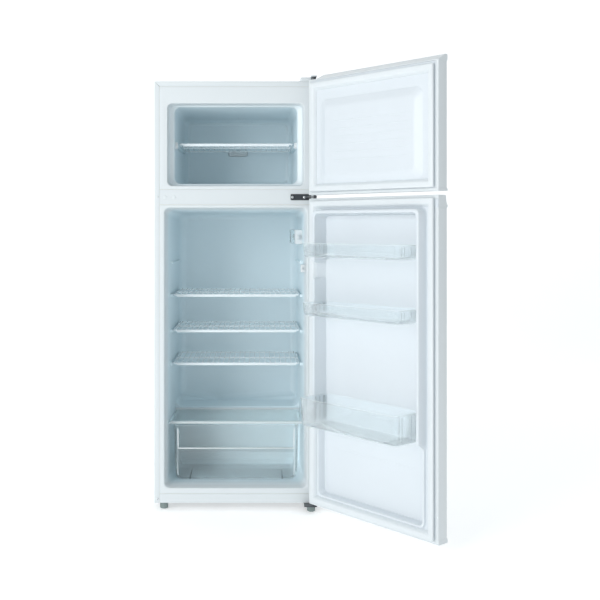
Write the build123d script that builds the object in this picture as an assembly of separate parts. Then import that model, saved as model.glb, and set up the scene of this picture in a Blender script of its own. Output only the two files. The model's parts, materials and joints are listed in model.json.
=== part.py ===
from build123d import *
import os

# Top freezer refrigerator: steel cabinet, two right-hinged doors, wire shelves, crisper and door bins.
# Millimetres. X to the right, Y into the cabinet, Z up. The origin is on the floor, in the middle
# of the cabinet's footprint. The doors are drawn shut and then turned open about their hinge pins.

# Cabinet
WIDTH = 545.0
DEPTH = 500.0
CABINET_BOTTOM = 24.0
CABINET_TOP = 1436.0
FRONT = -DEPTH / 2
BACK = DEPTH / 2
SHEET = 1.0
LINER = 2.0
FLANGE = 18.0
FACE_HALF = WIDTH / 2 - FLANGE - 0.3
SEAM = 0.3

# Front openings, as half width, bottom and top
FREEZER_HALF = 227.8
FREEZER_BOTTOM = 1086.0
FREEZER_TOP = 1361.0
FRIDGE_HALF = 238.0
FRIDGE_BOTTOM = 75.0
FRIDGE_TOP = 1012.0
RAIL_BOTTOM = 1022.5
RAIL_TOP = 1073.5
KICK_TOP = 54.4

# Machine bay at the bottom of the back
BAY_DEPTH = 300.0
BAY_TOP = 262.0
HUMP_DEPTH = 290.0
HUMP_TOP = 292.0

# Doors
DOOR_HALF = 272.0
DOOR_INNER = -12.0
DOOR_OUTER = -52.0
DOOR_PANEL = -13.0
RETURN_LIP = 10.0
OPEN_ANGLE = 130.0
PIN_X = 263.0
PIN_Y = FRONT - 30.0
PIN_R = 4.0
SOCKET_R = 4.08
UPPER_DOOR_BOTTOM = 1053.5
UPPER_DOOR_TOP = 1451.0
UPPER_SKIN_BOTTOM = 1062.0
UPPER_SKIN_TOP = 1430.0
LOWER_DOOR_BOTTOM = 32.5
LOWER_DOOR_TOP = 1042.0
LOWER_SKIN_BOTTOM = 47.0
LOWER_SKIN_TOP = 1005.0
LOWER_PANEL_TOP = 1030.0
GASKET_WIDTH = 26.0
GASKET_FACE = -0.4

# Dike and recess of the refrigerator door's inner panel
DIKE_HALF = 226.5
DIKE_BOTTOM = 69.0
DIKE_TOP = 1005.0
DIKE_STEP = 306.0
DIKE_HEIGHT = 32.0
LOW_DIKE_HEIGHT = 9.0
RECESS_DROP = 17.0

# Shelves
SHELF_HALF = 220.0
SHELF_FRONT = 108.0
SHELF_BACK = 398.0
SHELF_LEVELS = {"upper_shelf": 714.0, "middle_shelf": 591.0, "lower_shelf": 477.0}
SPARE_LEVEL = 828.0
FREEZER_SHELF_LEVEL = 1232.0
FRAME_WIRE_R = 2.6
CROSS_WIRE_R = 1.4
CROSS_WIRES = 24
CROSS_WIRE_SINK = 0.8

# Crisper
GLASS_TOP = 284.0
GLASS_THICK = 4.0
GLASS_HALF = 222.0
GLASS_FRONT = 60.0
GLASS_BACK = 280.0
LEDGE_CLEAR = 215.0
DRAWER_FLOOR = 84.6
DRAWER_RIM = 272.0

# Door bins: bottom, top and how far each stands off the inner panel's flange
BINS = {
    "upper_bin": (853.0, 896.0, 100.0),
    "middle_bin": (667.0, 708.0, 100.0),
    "bottle_bin": (318.0, 406.0, 110.0),
}
BIN_HALF = 204.0
BIN_WALL = 2.5

# Thermostat, lamp and light switch on the right wall
CONTROL_Z = 912.0
SWITCH_Z = 808.0
SWITCH_X = 225.0
KNOB_X = 214.5
KNOB_R = 8.5
LAMP_X = 211.0

# Hinges, screws and feet
TONGUE_Z = 1046.0
TONGUE_THICK = 3.5
TOP_ARM_Z = 1443.0
SCREW_HEAD = 2.0
SCREW_HEAD_R = 4.4
PLUG_PLACES = (-236.0, -206.0)
RAIL_HOLES_Z = 1047.5
MIDDLE_SCREWS = (190.0, 230.0)
BOTTOM_SCREWS = ((240.0, FRONT + 22), (240.0, FRONT + 48))
TOP_SCREWS = ((236.0, FRONT + 22), (256.0, FRONT + 46))
FLANGE_SCREWS_Z = (1048.0, 38.0)
LEFT_FOOT = (-242.0, FRONT + 28)
RIGHT_FOOT = (252.0, FRONT - 8)
FOOT_R = 14.0
FOOT_HEIGHT = 21.0
REAR_FEET = (-235.0, 235.0)

# Machine bay fittings
COMPRESSOR_X = -10.0
COMPRESSOR_Y = 152.0
COMPRESSOR_FOOT_Z = 38.0
MOUNT_DX = 88.0
MOUNT_DY = 52.0
TRAY_Z = 212.0
DRAIN_X = -77.0
DRAIN_Y = FRONT + 405
DRAIN_R = 9.0
DRIER_X = -150.0
DRIER_Y = 190.0
GLAND_X = 190.0
GLAND_Z = 38.0
PIPE_R = 3.2

HINGE = Axis((PIN_X, PIN_Y, 0), (0, 0, 1))


def depth(distance):
    """The Y of a place this far behind the cabinet's front face."""
    return FRONT + distance


def block(x0, x1, y0, y1, z0, z1):
    """A box between two corners."""
    size = Box(x1 - x0, y1 - y0, z1 - z0)
    return Pos((x0 + x1) / 2, (y0 + y1) / 2, (z0 + z1) / 2) * size


def rod(x, y, z, radius, length):
    """A vertical round bar that starts at z."""
    return Pos(x, y, z + length / 2) * Cylinder(radius, length)


def rod_along_y(x, y0, y1, z, radius):
    return Pos(x, (y0 + y1) / 2, z) * Rot(90, 0, 0) * Cylinder(radius, y1 - y0)


def rod_along_x(x0, x1, y, z, radius):
    return Pos((x0 + x1) / 2, y, z) * Rot(0, 90, 0) * Cylinder(radius, x1 - x0)


def upright(y, half, z0, z1, radius):
    """A rounded rectangle that stands across the cabinet at this Y."""
    plane = Plane(origin=(0, y, (z0 + z1) / 2), x_dir=(1, 0, 0), z_dir=(0, -1, 0))
    return plane * RectangleRounded(2 * half, z1 - z0, radius)


def flat(z, half, y0, y1, radius):
    """A rounded rectangle that lies level at this height."""
    return Pos(0, (y0 + y1) / 2, z) * RectangleRounded(2 * half, y1 - y0, radius)


def tapered(sections):
    """A solid through a row of rounded rectangles."""
    return loft(sections, ruled=True)


def tube(points, radius, bend):
    """A round tube through the points, with equal bends."""
    path = FilletPolyline(*points, radius=bend)
    return sweep(Plane(path @ 0, z_dir=path % 0) * Circle(radius), path=path)


def opened(part):
    """A door part turned from shut to its rest angle."""
    return part.rotate(HINGE, OPEN_ANGLE)


def profile_along_x(points, half):
    """A bar along X with this outline in Y and Z."""
    outline = Polyline(*[(0, y, z) for y, z in points], close=True)
    return extrude(make_face(outline), amount=half, dir=(1, 0, 0), both=True)


# ---- cabinet ----------------------------------------------------------------------------------

def cabinet_shell():
    """One bent sheet: two sides, the top and the return flange round the front."""
    half = WIDTH / 2
    body = block(-half, half, FRONT, BACK, CABINET_BOTTOM, CABINET_TOP)
    below = CABINET_BOTTOM - 1
    inside = block(-half + SHEET, half - SHEET, FRONT + SHEET, BACK + 1, below, CABINET_TOP - SHEET)
    mouth = block(-half + FLANGE, half - FLANGE, FRONT - 1, FRONT + 2, below, CABINET_TOP - FLANGE)
    return body - inside - mouth


def rear_panel():
    half = WIDTH / 2 - SHEET
    return block(-half, half, BACK - SHEET, BACK, BAY_TOP + SHEET, CABINET_TOP - SHEET)


def base_pan():
    """The floor sheet under the insulation, with the holes for the two front feet."""
    half = WIDTH / 2 - SHEET
    pan = block(-half, half, depth(3), depth(BAY_DEPTH), CABINET_BOTTOM, CABINET_BOTTOM + 1.5)
    return pan - rod(LEFT_FOOT[0], LEFT_FOOT[1], CABINET_BOTTOM - 1, 4.6, 4)


def machine_bay_panel():
    """The bent sheet that walls the machine bay off from the insulation."""
    half = WIDTH / 2 - SHEET
    wall = block(-half, half, depth(BAY_DEPTH), depth(BAY_DEPTH) + SHEET, CABINET_BOTTOM, BAY_TOP + SHEET)
    roof = block(-half, half, depth(BAY_DEPTH), BACK, BAY_TOP, BAY_TOP + SHEET)
    return wall + roof - rod(DRAIN_X, DRAIN_Y, BAY_TOP - 1, DRAIN_R + 0.1, 3)


def compressor_plate():
    """The cross member that carries the compressor, with a rear lip and four mount holes."""
    half = WIDTH / 2 - SHEET - 0.2
    y0 = depth(BAY_DEPTH) + SHEET + 0.2
    plate = block(-half, half, y0, BACK, CABINET_BOTTOM, CABINET_BOTTOM + 2)
    lip = block(-half, half, BACK - 1.5, BACK, CABINET_BOTTOM, CABINET_BOTTOM + 26)
    plate = plate + lip
    for x, y in mount_places():
        plate -= rod(x, y, CABINET_BOTTOM - 1, 7.0, 5)
    for x in REAR_FEET:
        plate -= rod(x, BACK - 60, CABINET_BOTTOM - 1, 4.0, 5)
    return plate - rod_along_y(GLAND_X, BACK - 3, BACK + 1, GLAND_Z, 8.0)


def cabinet_foam():
    """The foamed insulation that fills the cabinet round both compartments and the machine bay."""
    half = WIDTH / 2 - 7
    foam = block(-half, half, depth(2), BACK - SHEET, CABINET_BOTTOM + 1.5, CABINET_TOP - SHEET)
    foam -= block(-217, 217, depth(46), depth(428), 1080, 1368)
    foam -= block(-231, 231, depth(0), depth(46), 1083, 1364)
    foam -= block(-241, 241, depth(0), depth(HUMP_DEPTH + LINER), 72, 1015)
    foam -= block(-230, 230, depth(286), depth(433), HUMP_TOP - LINER, 1006)
    foam -= block(-half - 1, half + 1, depth(BAY_DEPTH), BACK + 1, 0, BAY_TOP + SHEET)
    foam -= block(-178, 178, depth(432), depth(440), 420, 960)
    foam -= rod(LEFT_FOOT[0], LEFT_FOOT[1], CABINET_BOTTOM, 8, 16)
    foam -= rod(DRAIN_X, DRAIN_Y, BAY_TOP, DRAIN_R + 0.1, 40)
    return foam


def freezer_cavity(grow=0.0):
    """The freezer compartment, or that space grown by the thickness of its wall."""
    g = grow
    return tapered([
        upright(depth(0) - 1, FREEZER_HALF + g, FREEZER_BOTTOM - g, FREEZER_TOP + g, 16 + g),
        upright(depth(36), 225 + g, 1088 - g, 1359 + g, 16 + g),
        upright(depth(42) + 0.01, 208 + g, 1094 - g, 1354 + g, 20 + g),
        upright(depth(395), 203 + g, 1096 - g, 1352 + g, 24 + g),
        upright(depth(412), 198 + g, 1101 - g, 1347 + g, 24 + g),
        upright(depth(420 + g), 190 + g, 1108 - g, 1340 + g, 20 + g),
    ])


def fridge_cavity(grow=0.0):
    """The refrigerator compartment, less the hump over the machine bay."""
    g = grow
    tub = tapered([
        upright(depth(0) - 1, FRIDGE_HALF + g, FRIDGE_BOTTOM - g, FRIDGE_TOP + g, 17 + g),
        upright(depth(40), 231 + g, 81 - g, 1005 + g, 20 + g),
        upright(depth(110), 228 + g, 84 - g, 1002 + g, 22 + g),
        upright(depth(400), 224 + g, 84 - g, 998 + g, 26 + g),
        upright(depth(420), 215 + g, 92 - g, 990 + g, 26 + g),
        upright(depth(430 + g), 198 + g, 104 - g, 976 + g, 22 + g),
    ])
    hump = block(-300, 300, depth(HUMP_DEPTH + g), depth(600), 0, HUMP_TOP - g)
    return tub - hump


def fridge_wall(distance):
    """Half the inside width of the refrigerator compartment this far behind the front."""
    return 228 - 4 * (distance - 110) / 290


def rib(side, z_top, inset, front, rear, thick=5.0):
    """A moulded ledge along one side wall that a shelf rests on."""
    corners = [
        (side * (fridge_wall(front) - inset), depth(front), z_top - thick),
        (side * (fridge_wall(rear) - inset), depth(rear), z_top - thick),
        (side * (fridge_wall(rear) + 1), depth(rear), z_top - thick),
        (side * (fridge_wall(front) + 1), depth(front), z_top - thick),
    ]
    return extrude(make_face(Polyline(*corners, close=True)), amount=thick, dir=(0, 0, 1))


def liner_flange(z0, z1):
    return block(-FACE_HALF, FACE_HALF, depth(0), depth(LINER), z0, z1)


def freezer_liner():
    """The freezer's moulded tub, with ledges for its one shelf."""
    liner = freezer_cavity(LINER) & block(-300, 300, depth(0), BACK, 1000, 1500)
    liner = liner + liner_flange(RAIL_TOP + SEAM, CABINET_TOP - FLANGE - SEAM)
    liner -= freezer_cavity()
    ledge_top = FREEZER_SHELF_LEVEL - FRAME_WIRE_R - SEAM
    for side in (-1, 1):
        x0, x1 = sorted((side * 197, side * 209))
        ledge = block(x0, x1, depth(90), depth(380), ledge_top - 5, ledge_top)
        liner += ledge & freezer_cavity(LINER)
    return liner


def fridge_liner():
    """The refrigerator's moulded tub, with four pairs of shelf ledges and the crisper cover's ledge."""
    liner = fridge_cavity(LINER) & block(-300, 300, depth(0), BACK, 0, 1100)
    liner = liner + liner_flange(KICK_TOP + SEAM, RAIL_BOTTOM - SEAM)
    liner -= fridge_cavity()
    levels = list(SHELF_LEVELS.values()) + [SPARE_LEVEL]
    for side in (-1, 1):
        for level in levels:
            liner += rib(side, level - FRAME_WIRE_R - SEAM, 9, SHELF_FRONT + 12, SHELF_BACK - 4)
        liner += rib(side, GLASS_TOP - GLASS_THICK - SEAM, 9, GLASS_FRONT + 7, GLASS_BACK - 8)
    return liner - rod(DRAIN_X, DRAIN_Y, HUMP_TOP - 10, DRAIN_R - 2, 20)


def front_strip(z0, z1):
    """A flat steel strip across the cabinet's face."""
    return block(-FACE_HALF, FACE_HALF, depth(0), depth(LINER), z0, z1)


def centre_rail():
    strip = front_strip(RAIL_BOTTOM, RAIL_TOP)
    for x in PLUG_PLACES:
        strip -= rod_along_y(x, depth(-1), depth(4), RAIL_HOLES_Z, 4.0)
    for x in MIDDLE_SCREWS:
        strip -= rod_along_y(x, depth(-1), depth(4), RAIL_HOLES_Z, 2.5)
    return strip


def bottom_rail():
    return front_strip(CABINET_BOTTOM + 0.2, KICK_TOP)


def rail_plugs():
    """Two snap-in plugs that close the spare hinge holes of the centre rail."""
    plugs = []
    for x in PLUG_PLACES:
        stem = rod_along_y(x, depth(0), depth(2), RAIL_HOLES_Z, 3.9)
        head = rod_along_y(x, depth(-1.5), depth(0), RAIL_HOLES_Z, 6.0)
        plugs.append(stem + head)
    return Compound(children=plugs)


def condenser_coil():
    """Two serpentine tubes taped to the inside of the side sheets."""
    passes = 8
    step = 140.0
    coils = []
    for side in (-1, 1):
        x = side * (WIDTH / 2 - SHEET - 2.9)
        points = []
        for n in range(passes):
            z = 330.0 + n * step
            ends = (-190.0, 190.0) if n % 2 == 0 else (190.0, -190.0)
            points += [(x, ends[0], z), (x, ends[1], z)]
        coils.append(tube(points, 2.4, 30.0))
    return Compound(children=coils)


def freezer_evaporator():
    """The sheet sleeve with the evaporator channel that wraps the freezer liner."""
    outer = block(-216, 216, depth(70), depth(390), 1081, 1367)
    inner = block(-214.8, 214.8, depth(60), depth(400), 1082.2, 1365.8)
    return outer - inner


def fridge_evaporator():
    """The cold plate behind the refrigerator's back wall, with its ladder of channels."""
    plate = block(-170, 170, depth(433), depth(434.2), 430, 950)
    for n in range(9):
        plate += block(-150, 150, depth(434.2), depth(437), 460 + n * 56, 468 + n * 56)
    return plate


# ---- hinges and feet --------------------------------------------------------------------------

def top_hinge_bracket():
    """A plate on the cabinet's top that steps up and reaches out to the upper pin."""
    plate = block(222, 268, depth(6), depth(60), CABINET_TOP, CABINET_TOP + 2.5)
    riser = block(250, 268, depth(6), depth(9), CABINET_TOP, TOP_ARM_Z + 2.5)
    arm = block(252, 268, PIN_Y - 8, depth(9), TOP_ARM_Z, TOP_ARM_Z + 2.5)
    pin = rod(PIN_X, PIN_Y, 1431.0, PIN_R, TOP_ARM_Z + 2.5 - 1431.0)
    bracket = plate + riser + arm + pin
    for x, y in TOP_SCREWS:
        bracket -= rod(x, y, CABINET_TOP - 1, 2.4, 6)
    return bracket


def top_hinge_cover():
    """The moulded cover over the upper hinge."""
    outer = block(216, 271, depth(3), depth(66), CABINET_TOP, CABINET_TOP + 14)
    outer = fillet(outer.edges().filter_by(Axis.Z), 5)
    outer = fillet(outer.faces().sort_by(Axis.Z)[-1].edges(), 3)
    inner = block(218, 269, depth(5), depth(64), CABINET_TOP - 1, CABINET_TOP + 12)
    nose = block(249.5, 270.5, PIN_Y - 10, depth(5), TOP_ARM_Z + 3, TOP_ARM_Z + 7)
    nose = fillet(nose.edges().filter_by(Axis.Z), 2)
    slot = block(251, 269, depth(0), depth(8), CABINET_TOP - 1, TOP_ARM_Z + 3)
    return outer + nose - inner - slot


def middle_hinge_bracket():
    """A face plate on the centre rail with a tongue that carries the pin between the doors."""
    plate = block(184, 252, depth(-3), depth(0), 1037.5, 1058)
    tongue = block(236, 252, PIN_Y - 9, depth(0), TONGUE_Z, TONGUE_Z + TONGUE_THICK)
    tongue += block(236, 271, PIN_Y - 9, PIN_Y + 9, TONGUE_Z, TONGUE_Z + TONGUE_THICK)
    pin = rod(PIN_X, PIN_Y, 1032.0, PIN_R, 1060.5 - 1032.0)
    bracket = plate + tongue + pin
    for x in MIDDLE_SCREWS:
        bracket -= rod_along_y(x, depth(-4), depth(1), RAIL_HOLES_Z, 2.5)
    return bracket


def bottom_hinge_bracket():
    """A plate under the cabinet that carries the lower pin and the right front foot."""
    plate = block(228, 271, PIN_Y - 8, depth(62), CABINET_BOTTOM - 3, CABINET_BOTTOM - 0.05)
    pin = rod(PIN_X, PIN_Y, CABINET_BOTTOM - 3, PIN_R, 24.0)
    collar = rod(PIN_X, PIN_Y, CABINET_BOTTOM - 3, 7.0, 10.5)
    bracket = plate + collar + pin
    bracket -= rod(RIGHT_FOOT[0], RIGHT_FOOT[1], CABINET_BOTTOM - 5, 4.6, 8)
    for x, y in BOTTOM_SCREWS:
        bracket -= rod(x, y, CABINET_BOTTOM - 5, 2.5, 8)
    return bracket


def cabinet_screws():
    """The six screws of the three hinges and the two in the left flange of the shell."""
    screws = []
    for z in FLANGE_SCREWS_Z:
        screws.append(rod_along_y(-WIDTH / 2 + 12, depth(-SCREW_HEAD), depth(0), z, 3.2))
    for x in MIDDLE_SCREWS:
        head = rod_along_y(x, depth(-3 - SCREW_HEAD), depth(-3), RAIL_HOLES_Z, SCREW_HEAD_R)
        shank = rod_along_y(x, depth(-3), depth(2), RAIL_HOLES_Z, 2.4)
        screws.append(head + shank)
    for x, y in BOTTOM_SCREWS:
        head = rod(x, y, CABINET_BOTTOM - 3 - SCREW_HEAD, SCREW_HEAD_R, SCREW_HEAD)
        shank = rod(x, y, CABINET_BOTTOM - 3, 2.4, 2.9)
        screws.append(head + shank)
    for x, y in TOP_SCREWS:
        head = rod(x, y, CABINET_TOP + 2.5, SCREW_HEAD_R, SCREW_HEAD)
        shank = rod(x, y, CABINET_TOP, 2.3, 2.5)
        screws.append(head + shank)
    return Compound(children=screws)


def levelling_foot(x, y, stem_top):
    """A ribbed foot on a threaded stem."""
    foot = rod(x, y, 0, FOOT_R, FOOT_HEIGHT - 1)
    foot = chamfer(foot.edges().sort_by(Axis.Z)[0], 1.5)
    for spot in PolarLocations(FOOT_R + 1.0, 16):
        flute = Pos(x, y, FOOT_HEIGHT / 2 + 3) * spot * Cylinder(1.7, FOOT_HEIGHT)
        foot -= flute
    return foot + rod(x, y, FOOT_HEIGHT - 2, 4.0, stem_top - FOOT_HEIGHT + 2)


def rear_feet():
    """Two fixed pads under the back of the compressor plate."""
    feet = []
    for x in REAR_FEET:
        pad = rod(x, BACK - 60, 0, 15.0, CABINET_BOTTOM)
        stud = rod(x, BACK - 60, CABINET_BOTTOM, 3.9, 6)
        feet.append(pad + stud)
    return Compound(children=feet)


# ---- machine bay ------------------------------------------------------------------------------

def mount_places():
    return [(COMPRESSOR_X + i * MOUNT_DX, COMPRESSOR_Y + j * MOUNT_DY) for i in (-1, 1) for j in (-1, 1)]


def compressor():
    """The hermetic motor compressor: a drawn can in two halves on a four-point base plate."""
    centre = Pos(COMPRESSOR_X, COMPRESSOR_Y, 0)
    can = extrude(centre * Pos(0, 0, 42) * Ellipse(92, 66), amount=148)
    can = fillet(can.edges().sort_by(Axis.Z)[-1], 34)
    can = fillet(can.edges().sort_by(Axis.Z)[0], 20)
    seam = extrude(centre * Pos(0, 0, 112) * Ellipse(95.5, 69.5), amount=5)
    plate = centre * Pos(0, 0, COMPRESSOR_FOOT_Z + 3) * Box(2 * MOUNT_DX + 30, 2 * MOUNT_DY + 30, 4)
    body = can + seam + plate
    body += centre * Pos(0, 0, 43) * Box(90, 60, 8)
    for x, y in mount_places():
        body -= rod(x, y, COMPRESSOR_FOOT_Z - 4, 6.0, 14)
    return body


def compressor_mounts():
    """Four rubber bushes that hold the compressor off its plate."""
    mounts = []
    for x, y in mount_places():
        foot = rod(x, y, CABINET_BOTTOM + 2, 11.0, COMPRESSOR_FOOT_Z + 1 - CABINET_BOTTOM - 2)
        neck = rod(x, y, COMPRESSOR_FOOT_Z + 1, 5.8, 8)
        stud = rod(x, y, CABINET_BOTTOM, 6.8, 2)
        mounts.append(foot + neck + stud)
    return Compound(children=mounts)


def terminal_cover():
    """The snap-on cover over the compressor's starter and overload switch."""
    y = COMPRESSOR_Y
    x = COMPRESSOR_X + 96
    cover = block(x, x + 34, y - 32, y + 32, 78, 142)
    cover = fillet(cover.edges().filter_by(Axis.X), 6)
    return fillet(cover.faces().sort_by(Axis.X)[-1].edges(), 4)


def evaporating_tray():
    """The tray over the compressor that catches the defrost water."""
    outer = tapered([flat(TRAY_Z, 88, 96, 226, 14), flat(TRAY_Z + 30, 94, 90, 232, 18)])
    inner = tapered([flat(TRAY_Z + 2, 86, 98, 224, 12), flat(TRAY_Z + 31, 92.1, 91.9, 230.1, 16)])
    tray = Pos(COMPRESSOR_X - 10, 0, 0) * (outer - inner)
    for i in (-1, 1):
        for j in (-1, 1):
            tray += rod(COMPRESSOR_X + i * 34, COMPRESSOR_Y + j * 22, 190, 6, TRAY_Z - 190)
    return tray


def filter_drier():
    """The copper drier between condenser and capillary, standing at the left of the bay."""
    drier = rod(DRIER_X, DRIER_Y, 110, 10, 70)
    drier += Pos(DRIER_X, DRIER_Y, 185) * Cone(10, 4, 10)
    drier += Pos(DRIER_X, DRIER_Y, 105) * Cone(4, 10, 10)
    return drier


def refrigerant_tubes():
    """Discharge, suction and charging pipes between the compressor, the drier and the cabinet."""
    x = COMPRESSOR_X
    discharge = [
        (x - 84, 130, 90), (x - 112, 130, 90), (x - 112, 130, 230),
        (-200, 130, 230), (-200, 130, 258),
    ]
    suction = [
        (x - 84, 168, 76), (x - 124, 168, 76), (x - 124, 168, 244),
        (-222, 168, 244), (-222, 60, 244),
    ]
    dx, dy = DRIER_X, DRIER_Y
    liquid = [(dx, dy, 191), (dx, dy, 222), (-180, dy, 222), (-180, dy, 258)]
    capillary = [(dx, dy, 99), (dx, dy, 70), (-205, dy, 70), (-205, dy, 258)]
    pipes = [
        tube(discharge, PIPE_R, 10),
        tube(suction, PIPE_R + 0.6, 11),
        tube(liquid, PIPE_R, 9),
        tube(capillary, 1.6, 9),
    ]
    return Compound(children=pipes)


def drain_hose():
    """The tube that leads the defrost water from the gutter down to the tray."""
    hose = rod(DRAIN_X, DRAIN_Y, 234, DRAIN_R, HUMP_TOP - LINER - 234)
    return hose - rod(DRAIN_X, DRAIN_Y, 230, DRAIN_R - 2, 70)


def cord_gland():
    """The grommet in the rear lip that the mains cord comes out of."""
    gland = rod_along_y(GLAND_X, BACK - 1.5, BACK, GLAND_Z, 7.9)
    gland += rod_along_y(GLAND_X, BACK - 4.5, BACK - 1.5, GLAND_Z, 10.5)
    gland += rod_along_y(GLAND_X, BACK, BACK + 3, GLAND_Z, 10.5)
    return gland - rod_along_y(GLAND_X, BACK - 6, BACK + 4, GLAND_Z, 4.0)


# ---- inside fittings --------------------------------------------------------------------------

def wire_shelf(half, y0, y1, z, wires):
    """A welded wire shelf: a frame, a second front wire, a middle wire and thin cross wires."""
    frame_y = (y0 + FRAME_WIRE_R, y1 - FRAME_WIRE_R)
    shelf = tube([
        (0, frame_y[0], z), (half - FRAME_WIRE_R, frame_y[0], z), (half - FRAME_WIRE_R, frame_y[1], z),
        (-half + FRAME_WIRE_R, frame_y[1], z), (-half + FRAME_WIRE_R, frame_y[0], z), (-1.0, frame_y[0], z),
    ], FRAME_WIRE_R, 8)
    shelf += rod_along_x(-3, 3, frame_y[0], z, FRAME_WIRE_R)
    low = z - 2 * FRAME_WIRE_R
    middle = rod_along_x(-half + FRAME_WIRE_R, half - FRAME_WIRE_R, (y0 + y1) / 2, z, FRAME_WIRE_R - 0.4)
    front = rod_along_x(-half + 14, half - 14, frame_y[0] + 1, low + 0.6, FRAME_WIRE_R - 0.4)
    top = z + FRAME_WIRE_R - CROSS_WIRE_SINK
    pitch = 2 * (half - 12) / (wires - 1)
    bars = [middle, front]
    for n in range(wires):
        x = -half + 12 + n * pitch
        bars.append(rod_along_y(x, y0 + 2, y1 - 2, top, CROSS_WIRE_R))
    return shelf.fuse(*bars)


def freezer_shelf():
    return wire_shelf(195.0, depth(70), depth(392), FREEZER_SHELF_LEVEL, 20)


def shelf_clips():
    """Two white end stops on the freezer's side walls."""
    clips = []
    for side in (-1, 1):
        x0, x1 = sorted((side * 197.5, side * 209))
        clip = block(x0, x1, depth(60), depth(76), 1214, 1238)
        clips.append(clip & freezer_cavity())
    return Compound(children=clips)


def sensor_cover():
    """A small cover low on the freezer's back wall."""
    cover = block(-36, 36, depth(414), depth(419.9), 1214, 1236)
    cover = fillet(cover.edges().filter_by(Axis.Y), 6)
    return chamfer(cover.faces().sort_by(Axis.Y)[0].edges(), 1.5)


def crisper_glass():
    """The toughened glass shelf over the crisper."""
    y0, y1 = depth(GLASS_FRONT), depth(GLASS_BACK)
    return block(-GLASS_HALF, GLASS_HALF, y0, y1, GLASS_TOP - GLASS_THICK, GLASS_TOP)


def glass_trim(y0, y1, groove_open, top_rise):
    """A moulded trim along one edge of the glass."""
    half = GLASS_HALF + 2.5
    trim = block(-half, half, y0, y1, GLASS_TOP - GLASS_THICK - 1.8, GLASS_TOP + top_rise)
    trim = fillet(trim.edges().filter_by(Axis.X), 1.2)
    slot = block(-GLASS_HALF, GLASS_HALF, groove_open[0], groove_open[1], GLASS_TOP - GLASS_THICK, GLASS_TOP)
    return trim - slot


def glass_front_trim():
    y0 = depth(GLASS_FRONT - 9)
    return glass_trim(y0, depth(GLASS_FRONT + 5), (depth(GLASS_FRONT), depth(GLASS_FRONT + 8)), 3.0)


def glass_rear_trim():
    """The rear trim, whose underside stops short of the wall ledges that it slides over."""
    y0, y1 = depth(GLASS_BACK - 6), depth(GLASS_BACK + 6)
    trim = glass_trim(y0, y1, (depth(GLASS_BACK - 8), depth(GLASS_BACK)), 5.0)
    for side in (-1, 1):
        x0, x1 = sorted((side * LEDGE_CLEAR, side * 230))
        trim -= block(x0, x1, y0 - 1, y1 + 1, GLASS_TOP - GLASS_THICK - 5, GLASS_TOP - GLASS_THICK)
    return trim


def crisper_drawer():
    """The clear vegetable drawer: a drafted tub with a stiff rim and a finger lip across its front."""
    y0, y1 = depth(52), depth(282)
    outer = tapered([
        flat(DRAWER_FLOOR, 196, y0 + 18, y1 - 16, 12),
        flat(DRAWER_FLOOR + 8, 208, y0 + 8, y1 - 8, 20),
        flat(DRAWER_FLOOR + 24, 212, y0 + 3, y1 - 4, 22),
        flat(DRAWER_RIM, 214, y0 + 1, y1 - 1, 20),
    ])
    w = 2.5
    inner = tapered([
        flat(DRAWER_FLOOR + w, 194, y0 + 19.5, y1 - 17.5, 10),
        flat(DRAWER_FLOOR + 8 + w, 205.5, y0 + 10.5, y1 - 10.5, 18),
        flat(DRAWER_FLOOR + 24 + w, 209.5, y0 + 5.5, y1 - 6.5, 20),
        flat(DRAWER_RIM + 1, 211.5, y0 + 3.5, y1 - 3.5, 18),
    ])
    lip = block(-196, 196, y0 - 9, y0 + 4, 194, 198)
    lip += block(-196, 196, y0 - 9, y0 - 6, 184, 198)
    lip = fillet(lip.edges().filter_by(Axis.Z), 1.0)
    return outer + lip - inner


def thermostat_housing():
    """The control box on the right wall, with the lamp's socket moulded on its rear end."""
    box = block(204, 232, depth(112), depth(200), CONTROL_Z - 24, CONTROL_Z + 26)
    box = fillet(box.edges().filter_by(Axis.Y).sort_by(Axis.X)[:2], 5)
    bore = rod_along_y(KNOB_X, depth(110), depth(116), CONTROL_Z, 3.3)
    socket = rod_along_y(LAMP_X, depth(198), depth(226), CONTROL_Z, 10)
    return ((box + socket) & fridge_cavity(-0.05)) - bore


def thermostat_knob():
    """The round dial on the front end of the control box."""
    disc = rod_along_y(KNOB_X, depth(104), depth(111.6), CONTROL_Z, KNOB_R)
    grip = block(KNOB_X - 1.6, KNOB_X + 1.6, depth(100), depth(105), CONTROL_Z - 7.4, CONTROL_Z + 7.4)
    shaft = rod_along_y(KNOB_X, depth(111), depth(115.5), CONTROL_Z, 3.22)
    return disc + grip + shaft


def lamp_cover():
    """The clear cover behind the control box, with vent slots in its front end."""
    outer = block(190, 232, depth(200.3), depth(310), CONTROL_Z - 24, CONTROL_Z + 26) & fridge_cavity(-0.05)
    inner = block(192, 240, depth(202.3), depth(308), CONTROL_Z - 22, CONTROL_Z + 24)
    cover = outer - inner - rod_along_y(LAMP_X, depth(199), depth(204), CONTROL_Z, 10.2)
    for n in range(4):
        z = CONTROL_Z - 16 + n * 10
        cover -= block(193, 200, depth(199), depth(204), z, z + 6)
    return cover


def lamp_bulb():
    """The 15 W pygmy lamp."""
    neck = rod_along_y(LAMP_X, depth(226), depth(238), CONTROL_Z, 7)
    glass = Pos(LAMP_X, depth(254), CONTROL_Z) * Sphere(11.5)
    return neck + glass + rod_along_y(LAMP_X, depth(236), depth(254), CONTROL_Z, 9.5)


def door_switch_housing():
    """The light switch on the right wall, behind the front edge."""
    box = block(219, 240, depth(16), depth(48), SWITCH_Z - 13, SWITCH_Z + 13)
    box = box & fridge_cavity(-0.05)
    return box - rod_along_y(SWITCH_X, depth(10), depth(40), SWITCH_Z, 3.6)


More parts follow.
